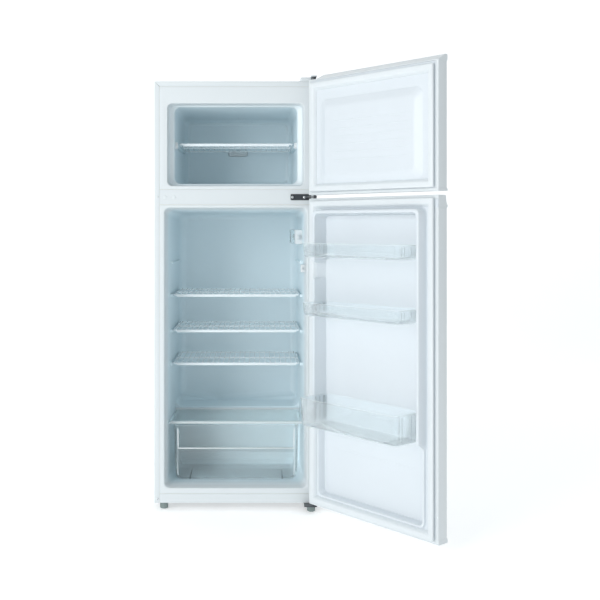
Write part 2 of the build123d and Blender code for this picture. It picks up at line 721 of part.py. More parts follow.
def door_switch_plunger():
    """The sprung button that the door pushes in."""
    stem = rod_along_y(SWITCH_X, depth(4), depth(24), SWITCH_Z, 3.2)
    return fillet(stem.edges().sort_by(Axis.Y)[0], 1.5)


# ---- doors ------------------------------------------------------------------------------------

def door_skin(z0, z1):
    """One bent sheet: front, both sides and a short lip round the inner face."""
    y0, y1 = depth(DOOR_OUTER), depth(DOOR_INNER)
    body = block(-DOOR_HALF, DOOR_HALF, y0, y1, z0, z1)
    body = fillet(body.edges().filter_by(Axis.Z).group_by(Axis.Y)[0], 3.0)
    inner = block(-DOOR_HALF + SHEET, DOOR_HALF - SHEET, y0 + SHEET, y1 - SHEET, z0 - 1, z1 + 1)
    inner = fillet(inner.edges().filter_by(Axis.Z).group_by(Axis.Y)[0], 2.0)
    mouth = DOOR_HALF - RETURN_LIP
    return body - inner - block(-mouth, mouth, y1 - 3, y1 + 1, z0 - 1, z1 + 1)


def door_foam_block(z0, z1):
    y0, y1 = depth(DOOR_OUTER) + SHEET, depth(DOOR_PANEL) - LINER
    half = DOOR_HALF - SHEET
    foam = block(-half, half, y0, y1, z0, z1)
    return chamfer(foam.edges().filter_by(Axis.Z).group_by(Axis.Y)[0], 2.5)


def panel_sheet(z0, z1):
    """The flat edge of an inner panel, tucked behind the skin's lip."""
    half = DOOR_HALF - SHEET - 0.1
    return block(-half, half, depth(DOOR_PANEL) - LINER, depth(DOOR_PANEL), z0, z1)


def gasket(z0, z1):
    """The magnetic door seal, a frame that stands off the inner panel."""
    y0, y1 = depth(DOOR_PANEL), depth(GASKET_FACE)
    half = DOOR_HALF - 12
    w = GASKET_WIDTH
    outer = block(-half, half, y0, y1, z0, z1)
    inner = block(-half + w, half - w, y0 - 1, y1 + 1, z0 + w, z1 - w)
    groove_z0, groove_z1 = z0 + 4, z1 - 4
    waist = block(-half - 1, half + 1, y0 + 3, y0 + 6, z0 - 1, z1 + 1)
    core = block(-half + 4, half - 4, y0 + 2, y0 + 7, groove_z0, groove_z1)
    return outer - inner - (waist - core)


def socket_hole(z0, z1):
    return rod(PIN_X, PIN_Y, z0, SOCKET_R, z1 - z0)


def freezer_door_top_cap():
    """The upper end cap, sloped down to the inner panel and cut away under the hinge arm."""
    f = FRONT
    outline = [
        (f - 52, 1430), (f - 54, 1436), (f - 54, 1448), (f - 51, 1451),
        (f - 45, 1451), (f - 12, 1433), (f - 12, 1430),
    ]
    cap = profile_along_x(outline, DOOR_HALF)
    cap -= block(238, 300, FRONT - 80, FRONT, 1441.5, 1500)
    cap = cap - socket_hole(1420, 1460)
    return cap


def freezer_door_bottom_cap():
    """The lower end cap, flared for the fingers along the front."""
    f = FRONT
    outline = [
        (f - 52, 1062), (f - 55, 1058), (f - 55, 1055),
        (f - 52, 1053.5), (f - 12, 1053.5), (f - 12, 1062),
    ]
    return profile_along_x(outline, DOOR_HALF) - socket_hole(1040, 1061.2)


def plateau(grow=0.0):
    """The shallow raised field of the freezer door's inner panel."""
    g = grow
    y = depth(DOOR_PANEL)
    return tapered([
        upright(y - 4, 210 + g, 1091 - g, 1359 + g, 24),
        upright(y + 4 + g, 205 + g, 1096 - g, 1354 + g, 22),
        upright(y + 11 + g, 192 + g, 1110 - g, 1340 + g, 18),
    ])


def freezer_door_liner():
    raised = plateau() & block(-300, 300, depth(DOOR_PANEL) - LINER, FRONT, 1000, 1500)
    panel = panel_sheet(UPPER_SKIN_BOTTOM + 0.1, UPPER_SKIN_TOP - 0.1) + raised
    return panel - plateau(-LINER)


def freezer_door_foam():
    foam = door_foam_block(1062, 1430)
    core = plateau(-LINER) & block(-300, 300, depth(DOOR_PANEL) - LINER, FRONT, 1000, 1500)
    return foam + core - socket_hole(1400, 1500)


def fridge_door_top_cap():
    """The upper end cap, which is the door's handle: it leans back above a finger ridge."""
    f = FRONT
    outline = [
        (f - 52, 1005), (f - 55, 1008), (f - 55.4, 1011), (f - 52, 1014), (f - 49, 1024), (f - 47.5, 1038),
        (f - 44, 1042), (f - 15, 1042), (f - 13, 1040), (f - 13, 1005),
    ]
    cap = profile_along_x(outline, DOOR_HALF)
    cap -= block(-300, 300, depth(DOOR_PANEL) - LINER, FRONT, 1000, LOWER_PANEL_TOP + 0.1)
    return cap - socket_hole(1028, 1050)


def fridge_door_bottom_cap():
    """The lower end cap with the block that stops the door at its widest angle."""
    f = FRONT
    outline = [(f - 52, 47), (f - 54.5, 43), (f - 54.5, 35), (f - 52, 32.5), (f - 13, 32.5), (f - 13, 47)]
    cap = profile_along_x(outline, DOOR_HALF)
    cap += block(206, 232, PIN_Y - 6, PIN_Y + 6, 27, 33)
    return cap - socket_hole(20, 46.2)


def dike(grow=0.0):
    """The raised ring of the refrigerator door's inner panel, tall at the bins and low at the crisper."""
    g = grow
    y = depth(DOOR_PANEL)
    tall = tapered([
        upright(y - 2, DIKE_HALF + g, DIKE_STEP - g, DIKE_TOP + g, 18),
        upright(y + DIKE_HEIGHT + g, DIKE_HALF - 3 + g, DIKE_STEP + 14 - g, DIKE_TOP - 4 + g, 15),
    ])
    low = tapered([
        upright(y - 2, DIKE_HALF + g, DIKE_BOTTOM - g, DIKE_STEP + 60 + g, 18),
        upright(y + LOW_DIKE_HEIGHT + g, DIKE_HALF - 2 + g, DIKE_BOTTOM + 3 - g, DIKE_STEP + 60 + g, 16),
    ])
    notch = block(DIKE_HALF - 24 + g, 300, y + 14 + g, y + 60, SWITCH_Z - 26 + g, SWITCH_Z + 26 - g)
    return tall + low - notch


def recess(grow=0.0):
    """The hollow inside the ring, where the bins sit."""
    g = grow
    y = depth(DOOR_PANEL)
    upper = tapered([
        upright(y - RECESS_DROP - g, 206 + g, DIKE_STEP - 20 - g, 984 + g, 14),
        upright(y + DIKE_HEIGHT + 3, 213 + g, DIKE_STEP - 20 - g, 990 + g, 14),
    ])
    lower = tapered([
        upright(y - RECESS_DROP - g, 214 + g, 80 - g, DIKE_STEP + g, 14),
        upright(y + DIKE_HEIGHT + 3, 218 + g, 74 - g, DIKE_STEP + g, 14),
    ])
    return upper + lower


def bin_bosses():
    """Pairs of moulded pegs that the bins rest on."""
    pegs = []
    y = depth(DOOR_PANEL)
    for bottom, top, reach in BINS.values():
        for side in (-1, 1):
            x0, x1 = sorted((side * 198, side * 209.1))
            pegs.append(block(x0, x1, y - 8, y + 6, bottom - 6.3, bottom - SEAM))
    return pegs


def fridge_door_liner():
    panel = panel_sheet(LOWER_SKIN_BOTTOM + 0.1, LOWER_PANEL_TOP) + dike() + recess(LINER)
    y = depth(DOOR_PANEL)
    keep = block(-300, 300, y - RECESS_DROP - LINER - 1, y + DIKE_HEIGHT + 0.01, 0, 1200)
    panel = (panel & keep) - recess() - (dike(-LINER) - recess(LINER))
    outside = block(-300, 300, y, FRONT + 80, 0, 1200) - dike()
    panel -= outside
    for peg in bin_bosses():
        panel += peg
    return panel


def fridge_door_foam():
    foam = door_foam_block(47, 1005)
    core = dike(-LINER) & block(-300, 300, depth(DOOR_PANEL) - LINER, FRONT + 60, 60, 1004.5)
    return foam + core - recess(LINER)


def door_bin(bottom, top, reach):
    """A clear bin: drafted front, square ends, open top, and a rolled front rim."""
    panel_y = depth(DOOR_PANEL)
    y0 = panel_y - RECESS_DROP + 1.5
    y1 = panel_y + reach
    w = BIN_WALL
    outer = tapered([
        flat(bottom, BIN_HALF - 8, y0, y1 - 10, 8),
        flat(bottom + 6, BIN_HALF - 2, y0, y1 - 4, 12),
        flat(top, BIN_HALF, y0, y1, 14),
    ])
    inner = tapered([
        flat(bottom + w, BIN_HALF - 9, y0 + w, y1 - 11.5, 6),
        flat(bottom + 6 + w, BIN_HALF - 2 - w, y0 + w, y1 - 4 - w, 10),
        flat(top + 1, BIN_HALF - w, y0 + w, y1 - w, 12),
    ])
    back_cut = block(-BIN_HALF + 24, BIN_HALF - 24, y0 - 1, y0 + w + 1, bottom + 18, top + 1)
    return outer - inner - back_cut


# ---- the assembly -----------------------------------------------------------------------------

fixed = {
    "cabinet_shell": cabinet_shell(),
    "rear_panel": rear_panel(),
    "base_pan": base_pan(),
    "machine_bay_panel": machine_bay_panel(),
    "compressor_plate": compressor_plate(),
    "cabinet_foam": cabinet_foam(),
    "freezer_liner": freezer_liner(),
    "fridge_liner": fridge_liner(),
    "centre_rail": centre_rail(),
    "bottom_rail": bottom_rail(),
    "rail_plugs": rail_plugs(),
    "condenser_coil": condenser_coil(),
    "evaporator_plates": Compound(children=[freezer_evaporator(), fridge_evaporator()]),
    "top_hinge_bracket": top_hinge_bracket(),
    "top_hinge_cover": top_hinge_cover(),
    "middle_hinge_bracket": middle_hinge_bracket(),
    "bottom_hinge_bracket": bottom_hinge_bracket(),
    "cabinet_screws": cabinet_screws(),
    "left_foot": levelling_foot(*LEFT_FOOT, CABINET_BOTTOM + 12),
    "right_foot": levelling_foot(*RIGHT_FOOT, CABINET_BOTTOM - 0.2),
    "rear_feet": rear_feet(),
    "compressor": compressor(),
    "compressor_mounts": compressor_mounts(),
    "terminal_cover": terminal_cover(),
    "evaporating_tray": evaporating_tray(),
    "filter_drier": filter_drier(),
    "refrigerant_tubes": refrigerant_tubes(),
    "drain_hose": drain_hose(),
    "cord_gland": cord_gland(),
    "freezer_shelf": freezer_shelf(),
    "shelf_clips": shelf_clips(),
    "sensor_cover": sensor_cover(),
    "crisper_glass": crisper_glass(),
    "glass_front_trim": glass_front_trim(),
    "glass_rear_trim": glass_rear_trim(),
    "crisper_drawer": crisper_drawer(),
    "thermostat_housing": thermostat_housing(),
    "thermostat_knob": thermostat_knob(),
    "lamp_cover": lamp_cover(),
    "lamp_bulb": lamp_bulb(),
    "door_switch_housing": door_switch_housing(),
    "door_switch_plunger": door_switch_plunger(),
}
for name, level in SHELF_LEVELS.items():
    fixed[name] = wire_shelf(SHELF_HALF, depth(SHELF_FRONT), depth(SHELF_BACK), level, CROSS_WIRES)

door_parts = {
    "freezer_door_skin": door_skin(UPPER_SKIN_BOTTOM, UPPER_SKIN_TOP),
    "freezer_door_top_cap": freezer_door_top_cap(),
    "freezer_door_bottom_cap": freezer_door_bottom_cap(),
    "freezer_door_liner": freezer_door_liner(),
    "freezer_door_foam": freezer_door_foam(),
    "freezer_door_gasket": gasket(UPPER_DOOR_BOTTOM + 10, UPPER_SKIN_TOP - 8),
    "fridge_door_skin": door_skin(LOWER_SKIN_BOTTOM, LOWER_SKIN_TOP),
    "fridge_door_top_cap": fridge_door_top_cap(),
    "fridge_door_bottom_cap": fridge_door_bottom_cap(),
    "fridge_door_liner": fridge_door_liner(),
    "fridge_door_foam": fridge_door_foam(),
    "fridge_door_gasket": gasket(LOWER_DOOR_BOTTOM + 10, LOWER_DOOR_TOP - 8),
}
for name, (bottom, top, reach) in BINS.items():
    door_parts[name] = door_bin(bottom, top, reach)

os.makedirs("parts", exist_ok=True)
for name, part in fixed.items():
    export_step(part, f"parts/{name}.step")
for name, part in door_parts.items():
    export_step(opened(part), f"parts/{name}.step")
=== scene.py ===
# %% [markdown]
# # A top freezer refrigerator, finished over its engineering model
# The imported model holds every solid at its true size, already parted into bodies that swing, slide and
# turn. It is loaded first and left alone. Everything that follows either puts a finish on one of its
# solids, or makes a finer piece that stands in the same place and rides on the same body.

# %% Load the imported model
import json
import math

import bmesh
import bpy
import numpy as np
from mathutils import Matrix, Vector


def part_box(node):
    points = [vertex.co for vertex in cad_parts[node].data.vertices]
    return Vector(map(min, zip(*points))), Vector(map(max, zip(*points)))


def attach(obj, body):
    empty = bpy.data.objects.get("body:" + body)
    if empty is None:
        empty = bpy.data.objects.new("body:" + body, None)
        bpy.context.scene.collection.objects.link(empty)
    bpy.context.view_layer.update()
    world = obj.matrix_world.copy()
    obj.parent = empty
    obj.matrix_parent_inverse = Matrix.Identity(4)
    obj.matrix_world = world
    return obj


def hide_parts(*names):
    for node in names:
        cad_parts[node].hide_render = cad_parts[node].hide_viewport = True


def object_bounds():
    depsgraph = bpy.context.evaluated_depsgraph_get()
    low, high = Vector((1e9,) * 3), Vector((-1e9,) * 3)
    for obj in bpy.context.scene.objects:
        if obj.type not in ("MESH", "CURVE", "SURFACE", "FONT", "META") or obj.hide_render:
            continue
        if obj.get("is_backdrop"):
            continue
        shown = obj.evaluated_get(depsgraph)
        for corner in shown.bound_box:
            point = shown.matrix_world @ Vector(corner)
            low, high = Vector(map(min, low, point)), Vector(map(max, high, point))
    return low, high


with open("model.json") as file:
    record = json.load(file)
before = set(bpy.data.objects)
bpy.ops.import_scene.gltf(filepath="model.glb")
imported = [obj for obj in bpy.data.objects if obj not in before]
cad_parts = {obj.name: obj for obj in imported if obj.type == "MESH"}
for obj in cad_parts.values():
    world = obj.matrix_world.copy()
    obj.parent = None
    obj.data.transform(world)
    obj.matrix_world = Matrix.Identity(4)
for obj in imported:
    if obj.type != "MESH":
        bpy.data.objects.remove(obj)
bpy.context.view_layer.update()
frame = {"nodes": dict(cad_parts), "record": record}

MM = 0.001
shell_low, shell_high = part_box("cabinet_shell")
FACE = shell_low.y
slot_of = {part["node"]: part["material_slot"] for part in frame["record"]["subparts"]}
print("nodes", len(frame["nodes"]), "cabinet face at", round(FACE, 4))

# %% [markdown]
# A maker measures a cabinet from its front face: so far across, so far in, so far up. The helpers below
# keep that habit. Shapes are drawn in millimetres as (across, in, up) and only become metres when the
# mesh is made. Doors are drawn shut, where their lines are square, and are then swung about their pins;
# drawing them at their open angle would make every number an awkward one.

# %% Places and meshes
PIN_ACROSS, PIN_IN = 263.0, -30.0
SWING = math.radians(130.0)


def in_metres(points, swung):
    """Millimetre points as metres in the model's frame, swung open with the door if asked."""
    p = np.array([tuple(q) for q in points], float).reshape(-1, 3)
    if swung:
        x, d = p[:, 0] - PIN_ACROSS, p[:, 1] - PIN_IN
        p[:, 0] = PIN_ACROSS + x * math.cos(SWING) - d * math.sin(SWING)
        p[:, 1] = PIN_IN + x * math.sin(SWING) + d * math.cos(SWING)
    p = p * MM
    p[:, 1] += FACE
    return p


def soften_edges(mesh, width, rounds, angle=38):
    """Rounds each edge that is sharper than the angle, as a tool's radius does."""
    bm = bmesh.new()
    bm.from_mesh(mesh)
    edges = [e for e in bm.edges if e.is_manifold and e.calc_face_angle(0) > math.radians(angle)]
    bmesh.ops.bevel(bm, geom=edges, offset=width * MM, offset_type="OFFSET", segments=rounds,
                    profile=0.5, affect="EDGES", clamp_overlap=True)
    bm.to_mesh(mesh)
    bm.free()


def bake_modifiers(piece):
    """The piece keeps its shape as plain mesh and loses its modifiers."""
    view = bpy.context.evaluated_depsgraph_get()
    mesh = bpy.data.meshes.new_from_object(piece.evaluated_get(view))
    piece.modifiers.clear()
    piece.data = mesh


def settle(piece, finish, body, nodes):
    """Gives a made piece its finish, its body and the solids that it stands for."""
    if finish is not None:
        piece.data.materials.clear()
        piece.data.materials.append(finish)
    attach(piece, body)
    if nodes:
        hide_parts(*nodes)
    return piece


def make_piece(name, shapes, finish, body, nodes=(), swung=False, soft=0.0, rounds=2, crisp=32):
    """One piece from several closed shapes, each a (points, faces) pair in millimetres."""
    points, faces = [], []
    for some_points, some_faces in shapes:
        first = len(points)
        points += list(some_points)
        faces += [tuple(first + i for i in face) for face in some_faces]
    mesh = bpy.data.meshes.new(name)
    mesh.from_pydata([tuple(p) for p in in_metres(points, swung)], [], faces)
    bm = bmesh.new()
    bm.from_mesh(mesh)
    bmesh.ops.remove_doubles(bm, verts=bm.verts, dist=2e-6)
    bmesh.ops.recalc_face_normals(bm, faces=bm.faces)
    bm.to_mesh(mesh)
    bm.free()
    if soft:
        soften_edges(mesh, soft, rounds)
    mesh.shade_smooth()
    mesh.set_sharp_from_angle(angle=math.radians(crisp))
    piece = bpy.data.objects.new(name, mesh)
    bpy.context.scene.collection.objects.link(piece)
    if soft:
        piece.modifiers.new("Flat faces stay flat", "WEIGHTED_NORMAL").keep_sharp = True
        bake_modifiers(piece)
    return settle(piece, finish, body, nodes)


def paint_highlight_faces(piece, finish, wanted):
    """Painted highlight: gives a second, brighter finish to the faces whose middle (across, in, up, in millimetres)
    is wanted.
    """
    piece.data.materials.append(finish)
    for face in piece.data.polygons:
        x, y, z = face.center
        if wanted(x / MM, (y - FACE) / MM, z / MM):
            face.material_index = 1


print("pins", PIN_ACROSS, "across", PIN_IN, "in, swing", round(math.degrees(SWING)), "degrees")

# %% [markdown]
# Nearly everything on a refrigerator is one of four forms: a plain block with rounded edges, a bar of
# constant section, a drawn or moulded tub whose corners stay round from mouth to floor, and a turned
# part. One helper for each keeps the later cells short. A tub is a row of rings with the same number of
# points, joined by four-sided faces, so its corners stay evenly divided however deep it is.

# %% Basic forms
def brick(x0, x1, d0, d1, z0, z1):
    """A block between two corners."""
    points = [(x, d, z) for z in (z0, z1) for x, d in ((x0, d0), (x1, d0), (x1, d1), (x0, d1))]
    return points, [(0, 3, 2, 1), (4, 5, 6, 7), (0, 1, 5, 4), (1, 2, 6, 5), (2, 3, 7, 6), (3, 0, 4, 7)]


def skin(rings, first=True, last=True):
    """Four-sided faces between rings of equal count, with the end rings closed if asked."""
    n = len(rings[0])
    points = [p for ring in rings for p in ring]
    faces = []
    for i in range(len(rings) - 1):
        for j in range(n):
            a, b = i * n + j, i * n + (j + 1) % n
            faces.append((a, b, b + n, a + n))
    if first:
        faces.append(tuple(range(n)))
    if last:
        faces.append(tuple(range(len(points) - n, len(points))))
    return points, faces


def bar_across(outline, x0, x1):
    """A bar along the width with this (in, up) outline."""
    return skin([[(x, d, z) for d, z in outline] for x in (x0, x1)])


def bar_up(outline, z0, z1):
    """A bar that stands up with this (across, in) outline."""
    return skin([[(x, d, z) for x, d in outline] for z in (z0, z1)])


def round_ring(a0, a1, b0, b1, radius, turns=7):
    """(a, b) places round a rectangle with rounded corners."""
    ring = []
    for ca, cb, start in ((a1 - radius, b1 - radius, 0), (a0 + radius, b1 - radius, 90),
                          (a0 + radius, b0 + radius, 180), (a1 - radius, b0 + radius, 270)):
        for i in range(turns + 1):
            t = math.radians(start + 90 * i / turns)
            ring.append((ca + radius * math.cos(t), cb + radius * math.sin(t)))
    return ring


def upright_ring(half, z0, z1, radius, d, turns=7):
    return [(a, d, b) for a, b in round_ring(-half, half, z0, z1, radius, turns)]


def level_ring(x0, x1, d0, d1, radius, z, turns=7):
    return [(a, b, z) for a, b in round_ring(x0, x1, d0, d1, radius, turns)]


def turned(profile, centre, axis="z", steps=32):
    """A lathe part: profile is (radius, height) from one end to the other, both on the centre line."""
    cx, cd, cz = centre
    rings = []
    for r, h in profile:
        ring = []
        for i in range(steps):
            t = 2 * math.pi * i / steps
            u, v = max(r, 0.01) * math.cos(t), max(r, 0.01) * math.sin(t)
            ring.append({"z": (cx + u, cd + v, cz + h), "d": (cx + u, cd + h, cz + v),
                         "x": (cx + h, cd + u, cz + v)}[axis])
        rings.append(ring)
    return skin(rings)


def eased(rows, soft, steps=5):
    """A row of sections with each inner corner rounded off over a length, as a moulding's are."""
    rows = [np.array(r, float) for r in rows]
    made = [rows[0]]
    for a, b, c, length in zip(rows, rows[1:], rows[2:], soft):
        la, lc = np.abs(a - b)[:4].max(), np.abs(c - b)[:4].max()
        p, q = b + (a - b) * min(0.48, length / la), b + (c - b) * min(0.48, length / lc)
        for i in range(steps + 1):
            t = i / steps
            made.append(p * (1 - t) ** 2 + b * 2 * t * (1 - t) + q * t * t)
    return made + [rows[-1]]


def bent_pipe(route, radius, bend, steps=14, arc=7):
    """A round pipe along straight runs with equal bends."""
    route = [Vector(p) for p in route]
    line = [route[0]]
    for a, b, c in zip(route, route[1:], route[2:]):
        to_a, to_c = (a - b).normalized(), (c - b).normalized()
        half = to_a.angle(to_c) / 2
        reach = min(bend / math.tan(half), (a - b).length * 0.49, (c - b).length * 0.49)
        for i in range(arc + 1):
            t = i / arc
            line.append((b + to_a * reach) * (1 - t) ** 2 + b * 2 * t * (1 - t) + (b + to_c * reach) * t * t)
    line.append(route[-1])
    along = (line[1] - line[0]).normalized()
    side = along.orthogonal().normalized()
    rings = []
    for i, p in enumerate(line):
        before, after = line[max(i - 1, 0)], line[min(i + 1, len(line) - 1)]
        new = (after - before).normalized()
        side = along.rotation_difference(new) @ side
        along = new
        up = along.cross(side)
        rings.append([tuple(p + (side * math.cos(2 * math.pi * k / steps) + up * math.sin(2 * math.pi * k / steps))
                            * radius) for k in range(steps)])
    return skin(rings)


print("points in one rounded ring", len(round_ring(0, 10, 0, 10, 2)))

# %% [markdown]
# Four surface effects come back on many finishes. Baked enamel has *orange peel*, a very shallow ripple a
# few millimetres across. Moulded plastic has a *satin skin*, finer and more even. Both could be painted
# pictures, but a rule drawn in the object's own coordinates stays sharp at any distance and needs no
# unwrapping. *Use* darkens places where hands and dust reach, and *drawn metal* has lines along its pull.
# Each is a node group with named inputs, so every finish can set its own strength.

# %% Surface effects as node groups
def effect_group(name, inputs, outputs):
    """An empty shader group with its named sockets, and the nodes to wire to."""
    group = bpy.data.node_groups.new(name, "ShaderNodeTree")
    for label, kind, value in inputs:
        group.interface.new_socket(label, in_out="INPUT", socket_type=kind).default_value = value
    for label, kind in outputs:
        group.interface.new_socket(label, in_out="OUTPUT", socket_type=kind)
    return group, group.nodes.new("NodeGroupInput"), group.nodes.new("NodeGroupOutput")


def math_node(tree, kind, first, second, clamp=False):
    """A Math node whose two inputs are sockets or numbers."""
    node = tree.nodes.new("ShaderNodeMath")
    node.operation, node.use_clamp = kind, clamp
    for i, value in enumerate((first, second)):
        if isinstance(value, (int, float)):
            node.inputs[i].default_value = value
        else:
            tree.links.new(value, node.inputs[i])
    return node.outputs[0]


def noise_node(tree, vector, scale, detail=3.0, rough=0.5):
    node = tree.nodes.new("ShaderNodeTexNoise")
    tree.links.new(vector, node.inputs["Vector"])
    for label, value in (("Scale", scale), ("Detail", detail), ("Roughness", rough)):
        if isinstance(value, (int, float)):
            node.inputs[label].default_value = value
        else:
            tree.links.new(value, node.inputs[label])
    return node.outputs["Fac"]


def ripple_group(name, fine, coarse):
    """A skin of shallow ripples: height, a slow mottle and a roughness that follows both."""
    group, source, sink = effect_group(
        name,
        [("Scale", "NodeSocketFloat", 1.0), ("Roughness", "NodeSocketFloat", 0.3),
         ("Roughness spread", "NodeSocketFloat", 0.1), ("Tone", "NodeSocketColor", (0.8, 0.8, 0.8, 1)),
         ("Tone spread", "NodeSocketFloat", 0.05)],
        [("Color", "NodeSocketColor"), ("Roughness", "NodeSocketFloat"), ("Height", "NodeSocketFloat")])
    place = group.nodes.new("ShaderNodeTexCoord").outputs["Object"]
    small = noise_node(group, place, math_node(group, "MULTIPLY", source.outputs["Scale"], fine), 2.0)
    large = noise_node(group, place, math_node(group, "MULTIPLY", source.outputs["Scale"], coarse), 4.0, 0.6)
    off_centre = math_node(group, "SUBTRACT", large, 0.5)
    rough = math_node(group, "MULTIPLY_ADD", off_centre, source.outputs["Roughness spread"])
    group.links.new(source.outputs["Roughness"], rough.node.inputs[2])
    tone = group.nodes.new("ShaderNodeHueSaturation")
    group.links.new(source.outputs["Tone"], tone.inputs["Color"])
    value = math_node(group, "MULTIPLY_ADD", off_centre, source.outputs["Tone spread"])
    value.node.inputs[2].default_value = 1.0
    group.links.new(value, tone.inputs["Value"])
    group.links.new(tone.outputs["Color"], sink.inputs["Color"])
    group.links.new(rough, sink.inputs["Roughness"])
    group.links.new(small, sink.inputs["Height"])
    return group


orange_peel = ripple_group("Orange peel", 420.0, 5.0)
satin_skin = ripple_group("Satin skin", 1500.0, 7.0)


def use_group():
    """Dust on faces that look up, broken by noise: a mask."""
    group, source, sink = effect_group("Use", [("Amount", "NodeSocketFloat", 0.3)], [("Mask", "NodeSocketFloat")])
    place = group.nodes.new("ShaderNodeTexCoord").outputs["Object"]
    facing = group.nodes.new("ShaderNodeSeparateXYZ")
    group.links.new(group.nodes.new("ShaderNodeNewGeometry").outputs["Normal"], facing.inputs[0])
    up = math_node(group, "MULTIPLY", math_node(group, "MAXIMUM", facing.outputs["Z"], 0.0), 0.7)
    cloud = noise_node(group, place, 18.0, 5.0, 0.65)
    both = math_node(group, "MULTIPLY", math_node(group, "ADD", up, 0.3), cloud)
    group.links.new(math_node(group, "MULTIPLY", both, source.outputs["Amount"], True), sink.inputs["Mask"])
    return group


def drawn_group():
    """Fine lines along one direction, as rolling or drawing leaves on metal."""
    group, source, sink = effect_group(
        "Drawn metal", [("Along", "NodeSocketVector", (0.02, 1.0, 1.0)), ("Scale", "NodeSocketFloat", 500.0)],
        [("Lines", "NodeSocketFloat")])
    mapping = group.nodes.new("ShaderNodeMapping")
    group.links.new(group.nodes.new("ShaderNodeTexCoord").outputs["Object"], mapping.inputs["Vector"])
    group.links.new(source.outputs["Along"], mapping.inputs["Scale"])
    lines = noise_node(group, mapping.outputs["Vector"], source.outputs["Scale"], 3.0, 0.7)
    group.links.new(lines, sink.inputs["Lines"])
    return group


surface_use = use_group()
drawn_metal = drawn_group()
print("effects", [g.name for g in bpy.data.node_groups])

# %% [markdown]
# A finish is one Principled shader with an effect or two in front of it. Numbers that are the same all
# over, such as a clear coat or how much light goes through, are set on the shader itself. The whites are
# cool, and each is a little different: enamelled steel is the whitest, vacuum-formed liner sheet is more
# satin, and the seal is the greyest. The liner's paler blue is painted shade that deepens into the tubs.

# %% Finishes
def make_finish(name, colour, roughness, effect=None, scale=1.0, spread=0.1, tone_spread=0.04, bump=0.05,
                dust=0.0, dust_colour=(0.45, 0.44, 0.42, 1), lines=None, **fixed):
    """A material from its colour, roughness, effect group and fixed Principled values."""
    finish = bpy.data.materials.new(name)
    finish.use_nodes = True
    tree = finish.node_tree
    shader = tree.nodes["Principled BSDF"]
    for label, value in fixed.items():
        shader.inputs[label.replace("_", " ")].default_value = value
    colour = (*colour, 1.0)
    base = tree.nodes.new("ShaderNodeGroup")
    base.node_tree = effect or satin_skin
    for label, value in (("Scale", scale), ("Roughness", roughness), ("Roughness spread", spread),
                         ("Tone", colour), ("Tone spread", tone_spread)):
        base.inputs[label].default_value = value
    paint, height = base.outputs["Color"], base.outputs["Height"]
    if lines:
        grain = tree.nodes.new("ShaderNodeGroup")
        grain.node_tree = drawn_metal
        grain.inputs["Along"].default_value = lines
        height = math_node(tree, "ADD", height, grain.outputs["Lines"])
    if dust:
        use = tree.nodes.new("ShaderNodeGroup")
        use.node_tree = surface_use
        use.inputs["Amount"].default_value = dust
        mix = tree.nodes.new("ShaderNodeMix")
        mix.data_type = "RGBA"
        tree.links.new(use.outputs["Mask"], mix.inputs["Factor"])
        tree.links.new(paint, mix.inputs["A"])
        mix.inputs["B"].default_value = dust_colour
        paint = mix.outputs["Result"]
    tree.links.new(paint, shader.inputs["Base Color"])
    tree.links.new(base.outputs["Roughness"], shader.inputs["Roughness"])
    bumped = tree.nodes.new("ShaderNodeBump")
    bumped.inputs["Strength"].default_value = bump
    bumped.inputs["Distance"].default_value = 0.0004
    tree.links.new(height, bumped.inputs["Height"])
    tree.links.new(bumped.outputs["Normal"], shader.inputs["Normal"])
    return finish


